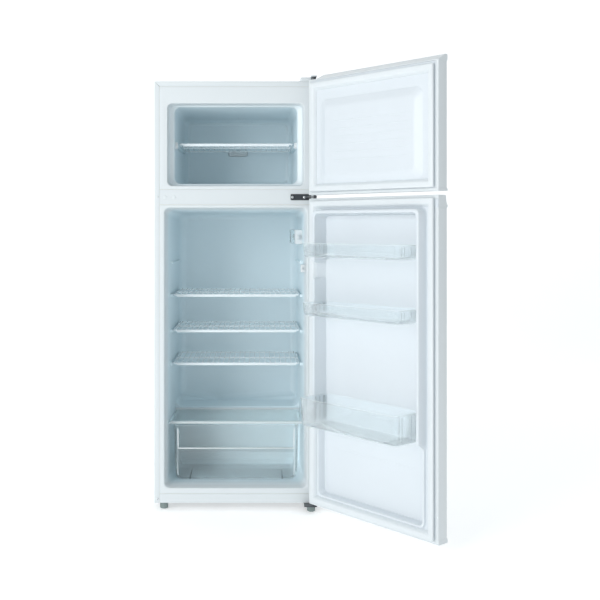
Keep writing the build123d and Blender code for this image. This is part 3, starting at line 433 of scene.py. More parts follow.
CLEAR = {"Transmission_Weight": 0.92, "IOR": 1.3}
finishes = {
    "white_steel": make_finish("white_enamel", (0.69, 0.735, 0.755), 0.31, orange_peel, bump=0.05, spread=0.04,
                               tone_spread=0.015, Coat_Weight=0.35, Coat_Roughness=0.12),
    "grey_steel": make_finish("galvanised_sheet", (0.50, 0.53, 0.55), 0.42, scale=0.35, spread=0.3, tone_spread=0.5,
                              bump=0.15, dust=0.5, lines=(1.0, 1.0, 0.03), Metallic=0.75),
    "white_plastic": make_finish("white_moulding", (0.70, 0.745, 0.765), 0.32, bump=0.10, spread=0.1),
    # painted shade: the liner's pale blue stands for its shaded inside; its mouth is given plain white further down
    "liner_plastic": make_finish("liner_sheet", (0.735, 0.855, 0.905), 0.34, bump=0.12, spread=0.15),
    "door_panel": make_finish("door_panel_sheet", (0.695, 0.745, 0.785), 0.36, bump=0.12, spread=0.15),
    "insulation": make_finish("foam", (0.72, 0.64, 0.42), 0.9, scale=0.3, tone_spread=0.3, bump=0.6),
    "seal": make_finish("door_seal", (0.72, 0.765, 0.79), 0.5, bump=0.1),
    "black_steel": make_finish("hinge_paint", (0.018, 0.026, 0.036), 0.32, orange_peel, bump=0.15, dust=0.15,
                               Coat_Weight=0.3),
    "zinc": make_finish("zinc_plate", (0.66, 0.68, 0.70), 0.28, spread=0.2, tone_spread=0.2, bump=0.08,
                        lines=(1, 1, 1), Metallic=1.0),
    "rubber_grey": make_finish("dark_rubber", (0.045, 0.05, 0.055), 0.7, bump=0.3, dust=0.5),
    "foot_plastic": make_finish("dark_nylon", (0.25, 0.31, 0.305), 0.5, bump=0.2, tone_spread=0.15, dust=0.2),
    "compressor_black": make_finish("black_stove_enamel", (0.008, 0.008, 0.010), 0.22, orange_peel, bump=0.3,
                                    dust=0.45, Coat_Weight=0.5),
    "copper": make_finish("drawn_copper", (0.70, 0.33, 0.20), 0.28, scale=0.6, spread=0.3, tone_spread=0.5,
                          bump=0.1, dust=0.3, dust_colour=(0.10, 0.05, 0.035, 1), lines=(1, 1, 0.05), Metallic=1.0),
    "plate_aluminium": make_finish("roll_bonded_aluminium", (0.70, 0.72, 0.73), 0.35, lines=(0.03, 1, 1),
                                   Metallic=1.0),
    "wire_white": make_finish("coated_wire", (0.82, 0.89, 0.92), 0.28, bump=0.15, spread=0.1, Coat_Weight=0.3),
    "clear_plastic": make_finish("clear_moulding", (0.88, 0.94, 0.955), 0.10, spread=0.06, tone_spread=0.02,
                                 bump=0.03, **CLEAR),
    "clear_trim": make_finish("clear_trim", (0.86, 0.93, 0.945), 0.16, bump=0.03, Transmission_Weight=0.45, IOR=1.45),
    # painted highlight: a brighter, more opaque clear finish for the rims and edges of clear mouldings
    "clear_painted_highlight": make_finish("clear_moulding_painted_highlight", (0.90, 0.955, 0.97), 0.2, bump=0.03, Transmission_Weight=0.2,
                              IOR=1.45),
    # painted shade: a dark clear finish for parts that lie in shade, such as the drawer's runners
    "clear_shadow": make_finish("clear_moulding_painted_shade", (0.22, 0.31, 0.34), 0.25, bump=0.03,
                                Transmission_Weight=0.5, IOR=1.45),
    "shelf_glass": make_finish("shelf_glass", (0.82, 0.93, 0.93), 0.06, spread=0.04, tone_spread=0.02, bump=0.01,
                               Transmission_Weight=0.9, IOR=1.45),
    "lamp_glass": make_finish("lamp_glass", (0.95, 0.95, 0.92), 0.05, spread=0.02, tone_spread=0.01, bump=0.01,
                              Transmission_Weight=0.9, IOR=1.45),
    "grey_plastic": make_finish("grey_moulding", (0.55, 0.60, 0.62), 0.42, bump=0.15, dust=0.2),
}


def let_light_through(finish, seen, in_shadow):
    """A thin clear part: this much of it is met by an eye's ray and this much by a shadow's."""
    tree = finish.node_tree
    path = tree.nodes.new("ShaderNodeLightPath")
    alpha = math_node(tree, "MULTIPLY_ADD", path.outputs["Is Shadow Ray"], in_shadow - seen)
    alpha.node.inputs[2].default_value = seen
    tree.links.new(alpha, tree.nodes["Principled BSDF"].inputs["Alpha"])


def paint_shade_into_depth(finish, face_colour, depth):
    """Painted shade: the colour is plain white at the mouth and turns to the finish's bluer colour deeper in, where a
    tub's inside lies in shade.
    """
    tree = finish.node_tree
    shader = tree.nodes["Principled BSDF"]
    deep = shader.inputs["Base Color"].links[0].from_socket
    place = tree.nodes.new("ShaderNodeSeparateXYZ")
    tree.links.new(tree.nodes.new("ShaderNodeTexCoord").outputs["Object"], place.inputs[0])
    share = tree.nodes.new("ShaderNodeMapRange")
    tree.links.new(place.outputs["Y"], share.inputs["Value"])
    share.inputs["From Min"].default_value, share.inputs["From Max"].default_value = FACE + depth * 0.3, FACE + depth
    mix = tree.nodes.new("ShaderNodeMix")
    mix.data_type = "RGBA"
    tree.links.new(share.outputs["Result"], mix.inputs["Factor"])
    mix.inputs["A"].default_value = (*face_colour, 1)
    tree.links.new(deep, mix.inputs["B"])
    tree.links.new(mix.outputs["Result"], shader.inputs["Base Color"])


let_light_through(finishes["clear_plastic"], 0.36, 0.06)
let_light_through(finishes["clear_painted_highlight"], 0.95, 0.3)
let_light_through(finishes["clear_shadow"], 0.6, 0.1)
let_light_through(finishes["clear_trim"], 0.9, 0.3)
let_light_through(finishes["shelf_glass"], 0.6, 0.08)
let_light_through(finishes["lamp_glass"], 0.8, 0.1)
# painted shade on the liners: plain white at the mouth, bluer and darker further in
paint_shade_into_depth(finishes["liner_plastic"], (0.70, 0.745, 0.765), 0.065)
for node, thing in frame["nodes"].items():
    thing.data.materials.clear()
    thing.data.materials.append(finishes[slot_of[node]])
print("finishes", len(finishes))


# %% [markdown]
# The cabinet shell is one long steel sheet, bent at both shoulders and folded round the front into a flange
# 18 mm wide. Each fold has an inside radius, and where the side and top flanges meet they are cut on the
# diagonal and leave a hair of a gap; a dark strip set in that gap is a painted shadow. The shell is drawn
# as the fold's own outline carried up the side, across the top and down again, because that gives the mitre
# for nothing.

# %% Cabinet shell
half_width = (shell_high.x - shell_low.x) / 2 / MM
shell_top, shell_foot, shell_back = shell_high.z / MM, shell_low.z / MM, (shell_high.y - FACE) / MM
FOLD = [(0, shell_back), (0, 30), (0, 2.0), (0.25, 1.0), (0.9, 0.3), (2.0, 0.0), (17.2, 0.0), (17.8, 0.25),
        (18.0, 0.7), (17.7, 1.0), (2.2, 1.0), (1.3, 1.4), (1.0, 2.3), (1.0, 30), (1.0, shell_back)]
FLANGE_POINTS = range(5, 11)


def shell_strips():
    """Left, top and right of the shell; only the flange is parted at the mitres."""
    def gap(u):
        return 0.9 if u > 2.3 else 0.0
    strips = []
    for side in (-1, 1):
        foot = [(side * (half_width - u), d, shell_foot) for u, d in FOLD]
        head = [(side * (half_width - u), d, shell_top - u - gap(u)) for u, d in FOLD]
        points, faces = skin([foot, head], last=False)
        strips.append((points, faces + [tuple(len(FOLD) + i for i in FLANGE_POINTS)]))
    ends = [[(side * (half_width - u - gap(u)), d, shell_top - u) for u, d in FOLD] for side in (-1, 1)]
    points, faces = skin(ends, first=False, last=False)
    strips.append((points, faces + [tuple(i for i in FLANGE_POINTS), tuple(len(FOLD) + i for i in FLANGE_POINTS)]))
    return strips


make_piece("cabinet_wrapper", shell_strips(), finishes["white_steel"], "cabinet",
           ("cabinet_shell",), crisp=28)
# painted shadow: a thin dark strip in each mitre gap stands for the shade inside the gap
bead = [(half_width - u - k, shell_top - u + k) for u, k in ((2.6, -0.55), (17.6, -0.55), (17.6, 0.55), (2.6, 0.55))]
make_piece("mitre_painted_shadow", [skin([[(side * x, d, z) for x, z in bead] for d in (1.2, 0.35)]) for side in (-1, 1)],
           finishes["rubber_grey"], "cabinet", ("cabinet_shell",))
print("shell", round(2 * half_width), "x", round(shell_back), "x", round(shell_top - shell_foot))

# %% [markdown]
# Across the front, two painted rails lie between the side flanges: one between the compartments, one at
# the foot. Their long edges are rolled over, which shows as a soft line against the liners. The spare
# hinge holes on the left are closed with domed plastic plugs, since the same rail serves a cabinet hung the
# other way.

# %% Front rails and plugs
def rolled_strip(node):
    """A rail's outline with rolled long edges, at its solid's own size."""
    low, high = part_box(node)
    x0, x1, z0, z1 = low.x / MM, high.x / MM, low.z / MM, high.z / MM
    outline = [(2.0, z0 + 0.2), (1.0, z0), (0.45, z0 + 0.35), (0.1, z0 + 1.2), (0, z0 + 2.4),
               (0, z1 - 2.4), (0.1, z1 - 1.2), (0.45, z1 - 0.35), (1.0, z1), (2.0, z1 - 0.2)]
    return bar_across(outline, x0, x1)


for name, node in (("middle_face_rail", "centre_rail"), ("foot_face_rail", "bottom_rail")):
    make_piece(name, [rolled_strip(node)], finishes["white_steel"], "cabinet", (node,), soft=0.15)

plug_low, plug_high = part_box("rail_plugs")
plug_head = 6.0
plug_centres = [plug_low.x / MM + plug_head, plug_high.x / MM - plug_head]
plug_z = (plug_low.z + plug_high.z) / 2 / MM
PLUG = [(0, 2.0), (3.7, 2.0), (3.9, 1.6), (3.9, 0.05), (5.7, 0.0), (6.0, -0.35), (5.6, -0.9), (4.2, -1.3),
        (2.2, -1.48), (0, -1.5)]
make_piece("rail_plug_pair", [turned(PLUG, (x, 0, plug_z), "d") for x in plug_centres],
           finishes["white_plastic"], "cabinet", ("rail_plugs",))

# %% [markdown]
# Each compartment is lined with one sheet of plastic drawn down into a mould, so it has no joints: a flat
# flange, a rolled mouth, a step where the door's raised panel nests, long walls with a few degrees of
# draft, and big soft corners at the back. It is made as a row of rounded rectangles going in, with the
# same row a sheet's thickness larger for the outside. Every change of slope is eased, since a vacuum
# former cannot make a sharp corner.

# %% Freezer tub
def tub(rows, wall, ring):
    """A drawn liner: the inside rows, and the same rows grown by the wall, joined into one closed shell."""
    outside = [np.array(r, float) + np.array((0, wall, -wall, wall, wall)) for r in rows[1:]]
    outside[-1][0] += wall
    outside = [o for o in outside if o[0] > 2.6]
    back = [np.array((2.0, *outside[0][1:])), np.array((2.0, *rows[0][1:]))]
    return skin([ring(*o) for o in reversed(outside)] + [ring(*b) for b in back] + [ring(*r) for r in rows])


def plain_ring(d, half, z0, z1, radius):
    return upright_ring(half, z0, z1, max(radius, 0.4), d)


FREEZER_ROWS = [
    (0.9, 254.2, 1073.8, 1417.7, 0.8), (0.0, 252.6, 1075.4, 1416.1, 0.8), (0.0, 228.6, 1085.2, 1361.8, 17),
    (36, 225.0, 1088.0, 1359.0, 16), (42, 208.0, 1094.0, 1354.0, 20), (395, 203.0, 1096.0, 1352.0, 24),
    (420, 190.0, 1108.0, 1340.0, 20), (420, 184.0, 1114.0, 1334.0, 19), (422.4, 181.0, 1117.0, 1331.0, 18),
    (422.4, 176.0, 1122.0, 1326.0, 17)]
freezer_tub = tub(eased(FREEZER_ROWS, (1.2, 4.0, 3.5, 4.5, 14.0, 12.0, 1.2, 1.2)), 1.8, plain_ring)
SHELF_Z = {n: (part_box(n)[0].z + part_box(n)[1].z) / 2 / MM
           for n in ("freezer_shelf", "upper_shelf", "middle_shelf", "lower_shelf")}


def ledge(side, at, z_top, front, rear, inset, thick=5.0):
    """A moulded ledge: a long bead with a rounded nose and a raised stop at its front."""
    rings = []
    for d, grow in ((front, 0.35), (front + 2, 0.8), (front + 5, 1.0), (rear - 4, 1.0), (rear, 0.5)):
        wall = at(d)
        inner, up = wall - inset * grow, z_top - thick * (1 - grow) * 0.4
        outline = [(wall + 1.5, z_top - thick - 1), (inner + 1.6, z_top - thick), (inner + 0.4, z_top - thick + 1.2),
                   (inner, z_top - thick / 2), (inner + 0.4, up - 0.8), (inner + 1.6, up), (wall + 1.5, up)]
        rings.append([(side * x, d, z) for x, z in outline])
    return skin(rings)


def freezer_wall(d):
    return 208.0 - 5.0 * (d - 42) / 353


ledges = [ledge(s, freezer_wall, SHELF_Z["freezer_shelf"] - 2.6 - 0.3, 86, 382, 10) for s in (-1, 1)]
make_piece("freezer_tub", [freezer_tub] + ledges, finishes["liner_plastic"], "cabinet",
           ("freezer_liner",), crisp=50)
print("freezer tub", len(freezer_tub[0]), "points")

# %% [markdown]
# The refrigerator's tub steps up over the machine bay, and along the foot of its back wall a gutter falls
# to one drain hole, where the defrost water leaves. Four pairs of ledges carry the shelves, each with a
# small stop at the front, and a fifth carries the crisper cover. The same row of rings serves, but each
# ring's lower edge has extra points so that it can dip towards the drain.

# %% Refrigerator tub
drain_low, drain_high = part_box("drain_hose")
DRAIN_X = (drain_low.x + drain_high.x) / 2 / MM
LOWER_PLACES = [-170, -140, -115, -100, -92, -86, -80, DRAIN_X + 3.5, -68, -62, -54, -38, 0, 60, 110, 150, 175]


def gutter(x):
    """How far the back wall's foot stands above the drain at this place across."""
    run = (DRAIN_X - x) / 125 if x < DRAIN_X else (x - DRAIN_X) / 280
    cup = -7.0 * max(0.0, 1 - abs(x - DRAIN_X) / 13) ** 0.5
    return 19.0 * min(1.0, run) ** 0.9 + cup


def dipping_ring(d, half, z0, z1, radius):
    ring = round_ring(-half, half, z0, z1, radius)
    ring = ring[:24] + [(x * half / 224, z0) for x in LOWER_PLACES] + ring[24:]
    share = min(max((d - 398) / 10, 0.0), 1.0)
    return [(x, d, z + share * gutter(x) * max(0.0, 1 - (z - z0) / radius)) for x, z in ring]


FRIDGE_ROWS = [
    (0.9, 254.2, 54.9, 1022.0, 0.8), (0.0, 252.6, 56.5, 1020.4, 0.8), (0.0, 238.8, 74.2, 1012.8, 18),
    (40, 231.0, 81.0, 1005.0, 20), (110, 228.0, 84.0, 1002.0, 22), (284, 225.6, 84.0, 999.6, 25),
    (290.5, 225.5, 293.0, 999.5, 25), (396, 224.0, 297.0, 998.0, 26), (408, 220.0, 290.0, 995.0, 26),
    (420, 215.0, 293.0, 990.0, 26), (430, 200.0, 304.0, 978.0, 22), (430, 190.0, 314.0, 968.0, 20)]
fridge_tub = tub(eased(FRIDGE_ROWS, (1.2, 4.5, 8.0, 20.0, 4.0, 5.0, 3.0, 4.0, 6.0, 5.0)), 1.8,
                 lambda *r: dipping_ring(r[0], r[1], r[2], r[3], max(r[4], 0.4)))


def fridge_wall(d):
    return 228.0 - 4.0 * (d - 110) / 290


shelf_low, shelf_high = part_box("upper_shelf")
shelf_front, shelf_rear = (shelf_low.y - FACE) / MM, (shelf_high.y - FACE) / MM
SPARE_LEVEL = 828.0
glass_low, glass_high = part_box("crisper_glass")
levels = [SHELF_Z["upper_shelf"], SHELF_Z["middle_shelf"], SHELF_Z["lower_shelf"], SPARE_LEVEL]
ledges = []
for side in (-1, 1):
    for level in levels:
        ledges.append(ledge(side, fridge_wall, level - 2.9, shelf_front + 12, shelf_rear - 4, 9))
        stop = fridge_wall(shelf_front)
        x0, x1 = sorted((side * (stop - 7.5), side * (stop + 1)))
        ledges.append(skin([level_ring(x0, x1, shelf_front + 1, shelf_front + 11, 2.4, level - 7 + k, 3)
                            for k in (0, 1.2, 8.5)]
                           + [level_ring(x0 + 1, x1 - 1, shelf_front + 2, shelf_front + 10, 2, level + 2.6, 3)]))
    ledges.append(ledge(side, fridge_wall, glass_low.z / MM - 0.3, (glass_low.y - FACE) / MM + 7,
                        (glass_high.y - FACE) / MM - 8, 9))
make_piece("refrigerator_tub", [fridge_tub] + ledges, finishes["liner_plastic"], "cabinet",
           ("fridge_liner",), crisp=50)
print("refrigerator tub", len(fridge_tub[0]), "points,", len(ledges), "ledges and stops")

# %% [markdown]
# A door is a shallow steel tray closed by two plastic end caps and a formed inner panel, foamed solid. The
# skin's long edges are bent to a small radius and return behind the seal. The end caps carry the style:
# the refrigerator's leans back above a ridge and is its handle, the freezer's slopes down to the panel.
# Each is a bar of one section, so each is drawn as an outline and given its length.

# %% Door skins and end caps
DOOR_HALF, LIP = 272.0, 262.0


def skin_outline():
    """The bent sheet seen from above: outside, round both corners, lips, and back along its inside."""
    outer = [(-LIP, -12), (-DOOR_HALF + 1.2, -12), (-DOOR_HALF + 0.3, -12.3), (-DOOR_HALF, -13.2)]
    outer += [(-DOOR_HALF + 3 - 3 * math.cos(math.radians(a)), -49 - 3 * math.sin(math.radians(a)))
              for a in range(0, 91, 15)]
    inner = [(-DOOR_HALF + 3 - 2 * math.cos(math.radians(a)), -49 - 2 * math.sin(math.radians(a)))
             for a in range(90, -1, -15)]
    inner += [(-DOOR_HALF + 1, -13.6), (-DOOR_HALF + 1.6, -13), (-LIP, -13)]
    mirror = [(-x, d) for x, d in reversed(outer)]
    return outer + mirror + [(-x, d) for x, d in reversed(inner)] + inner


def cap_shapes(outline, notch_from=None, notch_z=None):
    """A cap's bar; past notch_from its outline is held under notch_z, to clear the hinge."""
    if notch_from is None:
        return [bar_across(outline, -DOOR_HALF, DOOR_HALF)]
    low = [(d, min(z, notch_z)) for d, z in outline]
    return [bar_across(outline, -DOOR_HALF, notch_from), bar_across(low, notch_from - 0.5, DOOR_HALF)]


for name, node, z0, z1 in (("upper_door_skin", "freezer_door_skin", 1062.0, 1430.0),
                           ("lower_door_skin", "fridge_door_skin", 47.0, 1005.0)):
    make_piece(name, [bar_up(skin_outline(), z0, z1)], finishes["white_steel"], node[:-5], (node,),
               swung=True, crisp=28)
CAPS = {
    "freezer_door_top_cap": ([(-52, 1430), (-53.2, 1432.4), (-54, 1436), (-54, 1447.5), (-53.3, 1449.9),
                              (-51.5, 1451),
                              (-46, 1451), (-44.5, 1450.4), (-13.2, 1434), (-12, 1432.6),
                              (-12, 1430)], 238.0, 1441.5),
    "freezer_door_bottom_cap": ([(-52, 1062), (-54.2, 1060), (-55, 1058), (-55, 1055.4), (-54, 1054), (-52, 1053.5),
                                 (-13, 1053.5), (-12.2, 1053.9), (-12, 1054.8), (-12, 1062)], None, None),
    "fridge_door_top_cap": ([(-52, 1005), (-54.3, 1007), (-55.3, 1009), (-55.4, 1011), (-54.2, 1012.8), (-52, 1014.2),
                             (-50.6, 1018), (-49, 1024), (-47.8, 1031), (-47.5, 1037.5), (-46.6, 1040.4),
                             (-44, 1042), (-15, 1042), (-13.6, 1041.3), (-13, 1040), (-13, 1030.2), (-15.2, 1030.2),
                             (-15.2, 1005)], None, None),
    "fridge_door_bottom_cap": ([(-52, 47), (-53.8, 45.2), (-54.5, 43), (-54.5, 35), (-53.7, 33.2), (-52, 32.5),
                                (-14, 32.5), (-13.2, 32.9), (-13, 34), (-13, 47)], None, None)}
for node, (outline, notch_from, notch_z) in CAPS.items():
    shapes = cap_shapes(outline, notch_from, notch_z)
    if node == "fridge_door_bottom_cap":
        shapes.append(brick(206, 232, PIN_IN - 6, PIN_IN + 6, 27, 33))
    make_piece(node.replace("_door_", "_") + "_moulding", shapes, finishes["white_plastic"],
               "_".join(node.split("_")[:2]), (node,), swung=True, soft=0.7, crisp=30)
print("door caps", len(CAPS))

# %% [markdown]
# The inner panel of the freezer door is one formed sheet with a shallow pillow in the middle and a few faint
# stiffening lines across it. The pillow's rim is soft at its foot and at its shoulder. Rings again give
# this: from the sheet's back edge, over the flat where the seal sits, up the rim, and across the field.

# %% Freezer door panel
PANEL = -13.0
FREEZER_PANEL = [
    (PANEL - 1.9, 270.8, 1062.2, 1429.8, 1), (PANEL, 270.8, 1062.2, 1429.8, 1), (PANEL, 214, 1087, 1363, 27),
    (PANEL + 1.5, 211.0, 1090.0, 1360.0, 24), (PANEL + 9.8, 191.0, 1110, 1340, 20), (PANEL + 11, 184, 1117, 1333, 17),
    (PANEL + 11, 150, 1150, 1300, 16)]


def stiffening_line(z, x0, x1, height, d, half_height=1.6):
    """A long low bead across a panel, fading to nothing at both ends."""
    rings = []
    for x, grow in ((x0, 0.05), (x0 + 12, 0.7), (x0 + 25, 1.0), (x1 - 25, 1.0), (x1 - 12, 0.7), (x1, 0.05)):
        up = height * grow
        rings.append([(x, d - 0.3, z - half_height - 0.4), (x, d + up * 0.35, z - half_height * 0.7),
                      (x, d + up * 0.9, z - half_height * 0.3), (x, d + up, z),
                      (x, d + up * 0.9, z + half_height * 0.3),
                      (x, d + up * 0.35, z + half_height * 0.7), (x, d - 0.3, z + half_height + 0.4)])
    return skin(rings)


rows = eased(FREEZER_PANEL, (0.9, 5.0, 3.0, 5.0, 4.0))
behind = [r - np.array((1.9, 0, 0, 0, 0)) for r in rows if r[1] < 220]
panel_shape = skin([plain_ring(*r) for r in reversed(behind)] + [plain_ring(*r) for r in rows])
lines = [stiffening_line(z, -178, 150 + k, 0.55, PANEL + 11, 1.3)
         for k, z in enumerate((1287, 1262, 1237, 1212, 1187, 1162))]
make_piece("freezer_door_panel", [panel_shape] + lines, finishes["door_panel"], "freezer_door",
           ("freezer_door_liner",), swung=True, crisp=50)
print("freezer panel rings", len(rows), "stiffening lines", len(lines))

# %% [markdown]
# The refrigerator door's panel has a raised ring, tall where the bins hang between its walls and low beside
# the crisper, and a hollow inside it. The ring is notched on the hinge side, where the light switch
# stands. One set of rings follows it all round; a point's height depends on how far up the door it is,
# so the tall part falls to the low part in a short ramp, and the notch is cut by the same rule.

# %% Refrigerator door panel
TALL, LOW, RAMP, DROP, CLEARED = 32.0, 9.0, 309.0, 17.0, 13.5
switch_low, switch_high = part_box("door_switch_housing")
SWITCH_Z = (switch_low.z + switch_high.z) / 2 / MM
SIDE_PLACES = [110, 140, 180, 220, 260, 290, 299, 302, 305, 308, 311, 314, 317, 320, 324, 330, 345, 380, 430, 500,
               580, 660, 740, 770, SWITCH_Z - 29, SWITCH_Z - 27.5, SWITCH_Z - 26, SWITCH_Z - 24, SWITCH_Z - 20,
               SWITCH_Z, SWITCH_Z + 20, SWITCH_Z + 24, SWITCH_Z + 26, SWITCH_Z + 27.5, SWITCH_Z + 29, 850, 890,
               930, 960, 975]


def smooth(low, high, value):
    t = min(max((value - low) / (high - low), 0.0), 1.0)
    return t * t * (3 - 2 * t)


def ring_height(x, z):
    """The raised ring's height above the panel at this place."""
    height = LOW + (TALL - LOW) * smooth(RAMP - 11, RAMP + 11, z)
    if x > 0:
        inside_notch = 1 - smooth(22.5, 27.5, abs(z - SWITCH_Z))
        height -= inside_notch * max(0.0, height - CLEARED)
    return height


def panel_ring(low_half, tall_half, z0, z1, radius, base, share, under=0.0):
    """A ring whose depth is base plus a share of the raised ring's height there; the notch is a steep slope."""
    arcs = round_ring(-tall_half, tall_half, z0, z1, radius)
    top_right, top_left, foot_left, foot_right = arcs[:8], arcs[8:16], arcs[16:24], arcs[24:]
    shift = low_half - tall_half
    places = top_right + top_left + [(-tall_half, z) for z in reversed(SIDE_PLACES)]
    places += foot_left + foot_right + [(tall_half, z) for z in SIDE_PLACES]
    out = []
    for x, z in places:
        z = min(max(z, z0 + radius), z1 - radius) if abs(x) > tall_half - 0.001 else z
        slip = shift * (1 - smooth(RAMP - 11, RAMP + 11, z))
        x = x + math.copysign(slip, x)
        depth = base + share * ring_height(x, z)
        slope = PANEL - under + CLEARED - (224.5 - x) / 18.5 * (CLEARED + DROP)
        if 205.5 < x < 224.5:
            depth += max(0.0, depth - slope) * (smooth(22.5, 27.5, abs(z - SWITCH_Z)) - 1)
        out.append((x, depth, z))
    return out


def dike_rings():
    front = [
        (270.8, 270.8, 47.2, 1029.9, 1.0, PANEL - 1.9, 0), (270.8, 270.8, 47.2, 1029.9, 1.0, PANEL, 0),
        (231.5, 231.5, 64.0, 1010.0, 22, PANEL, 0), (228.6, 228.6, 66.9, 1007.1, 20, PANEL + 0.3, 0),
        (227.0, 227.0, 68.5, 1005.5, 19, PANEL + 1.5, 0.04), (226.4, 226.2, 69.2, 1004.6, 18, PANEL, 0.22),
        (225.3, 224.2, 70.8, 1002.4, 17, PANEL, 0.86), (224.6, 223.4, 71.6, 1001.4, 16, PANEL, 0.965),
        (223.4, 221.8, 72.8, 1000.0, 15, PANEL, 1.0), (220.0, 215.4, 75.6, 993.4, 14, PANEL, 1.0),
        (218.6, 213.6, 76.8, 991.6, 13.5, PANEL, 0.965), (217.9, 212.8, 77.6, 990.8, 13.5, PANEL, 0.86),
        (215.4, 208.2, 81.0, 986.0, 14, PANEL - DROP * 0.72, 0.10),
        (214.0, 206.6, 82.4, 984.4, 15, PANEL - DROP * 0.93, 0.0),
        (211.0, 203.5, 85.4, 981.4, 15, PANEL - DROP, 0), (196.0, 190.0, 99.0, 968.0, 14, PANEL - DROP, 0)]
    back = [(r[0], r[1], r[2], r[3], r[4], r[5] - 1.9, r[6], 1.9) for r in front[2:]]
    return [panel_ring(*r) for r in reversed(back)] + [panel_ring(*r) for r in front]


BINS = {"upper_bin": (853.0, 896.0, 100.0), "middle_bin": (667.0, 708.0, 100.0), "bottle_bin": (318.0, 406.0, 110.0)}
pegs = []
for bottom, top, reach in BINS.values():
    for side in (-1, 1):
        x0, x1 = sorted((side * 198.5, side * 208.8))
        pegs.append(skin([level_ring(x0, x1, PANEL - 9, PANEL + 5.5, 2.5, bottom - 6 + k, 3) for k in (0, 1.0, 5.4)]))
        pegs.append(brick(x0, x1, PANEL - 12, PANEL - 2, bottom - 9, bottom - 6.2))
panel_parts = [skin(dike_rings()), stiffening_line(232, -176, 176, 0.7, PANEL - DROP, 1.6)] + pegs
make_piece("refrigerator_door_panel", panel_parts, finishes["door_panel"], "fridge_door",
           ("fridge_door_liner",), swung=True, crisp=42)
print("door panel rings", len(dike_rings()), "of", len(dike_rings()[0]), "points")

# %% [markdown]
# A magnetic seal is a soft hollow strip welded at its four corners: a foot pressed into the panel, a thin
# bellows that lets it give, and a flat magnet pocket that meets the cabinet. Its section is drawn once, and
# mitred round a rectangle. The bellows' fold is what shows as a dark line round an open door.

# %% Door seals
SEAL = [(3.5, 0.0), (3.5, 1.4), (4.6, 2.2), (5.8, 3.2), (5.0, 4.3), (2.4, 5.3), (0.9, 6.3), (0.3, 7.6), (0.5, 9.6),
        (1.5, 11.2), (3.2, 12.1), (6.5, 12.45), (12.5, 12.5), (15.5, 12.0), (18.0, 10.6), (20.2, 8.4), (22.2, 5.8),
        (24.0, 3.4), (25.2, 1.8), (25.8, 0.9), (25.8, 0.0)]


def seal_shape(half, z0, z1):
    rings = []
    for inset, stand in SEAL:
        d = PANEL + stand
        rings.append([(-half + inset, d, z0 + inset), (half - inset, d, z0 + inset), (half - inset, d, z1 - inset),
                      (-half + inset, d, z1 - inset)])
    points, faces = skin(rings + [rings[0]], first=False, last=False)
    return points, faces


for name, door, z0, z1 in (("upper_seal", "freezer_door", 1063.5, 1422.0),
                           ("lower_seal", "fridge_door", 42.5, 1034.0)):
    make_piece(name, [seal_shape(260.0, z0, z1)], finishes["seal"], door, (door + "_gasket",), swung=True,
               crisp=40)
print("seal profile points", len(SEAL))

# %% [markdown]
# A wire shelf is a bent frame with thin wires welded across it, then dipped in white plastic, which leaves
# the joints smooth and the ends rounded. Dozens of equal wires at one pitch are a rule and not a shape, so
# the whole shelf is one Geometry Nodes tree. Its inputs are the sizes a shelf maker would quote, and the
# same tree makes all four shelves.

# %% The shelf maker
def add_node(tree, kind, links=(), **settings):
    """A node with settings, and sockets fed by index or name from other sockets or by plain values."""
    node = tree.nodes.new(kind)
    for label, value in settings.items():
        setattr(node, label, value)
    for label, value in dict(links).items():
        if isinstance(value, bpy.types.NodeSocket):
            tree.links.new(value, node.inputs[label])
        else:
            node.inputs[label].default_value = value
    return node


def geometry_tree(name, inputs):
    """An empty Geometry Nodes tree with a geometry output and these named inputs."""
    tree = bpy.data.node_groups.new(name, "GeometryNodeTree")
    tree.interface.new_socket("Geometry", in_out="OUTPUT", socket_type="NodeSocketGeometry")
    for label, kind, value in inputs:
        socket = tree.interface.new_socket(label, in_out="INPUT", socket_type=kind)
        if value is not None:
            socket.default_value = value
    return tree, tree.nodes.new("NodeGroupInput").outputs, tree.nodes.new("NodeGroupOutput")


def grown(tree, values, name):
    """The tree's result with these input values, as a plain mesh object with smooth sides."""
    carrier = bpy.data.objects.new(name, bpy.data.meshes.new(name))
    bpy.context.scene.collection.objects.link(carrier)
    modifier = carrier.modifiers.new("grow", "NODES")
    modifier.node_group = tree
    sockets = {s.name: s.identifier for s in tree.interface.items_tree if s.in_out == "INPUT"}
    for label, value in values.items():
        modifier[sockets[label]] = value
    bake_modifiers(carrier)
    carrier.data.shade_smooth()
    carrier.data.set_sharp_from_angle(angle=math.radians(40))
    return carrier


def scaled(tree, socket, factor):
    return add_node(tree, "ShaderNodeMath", {0: socket, 1: factor}, operation="MULTIPLY").outputs[0]


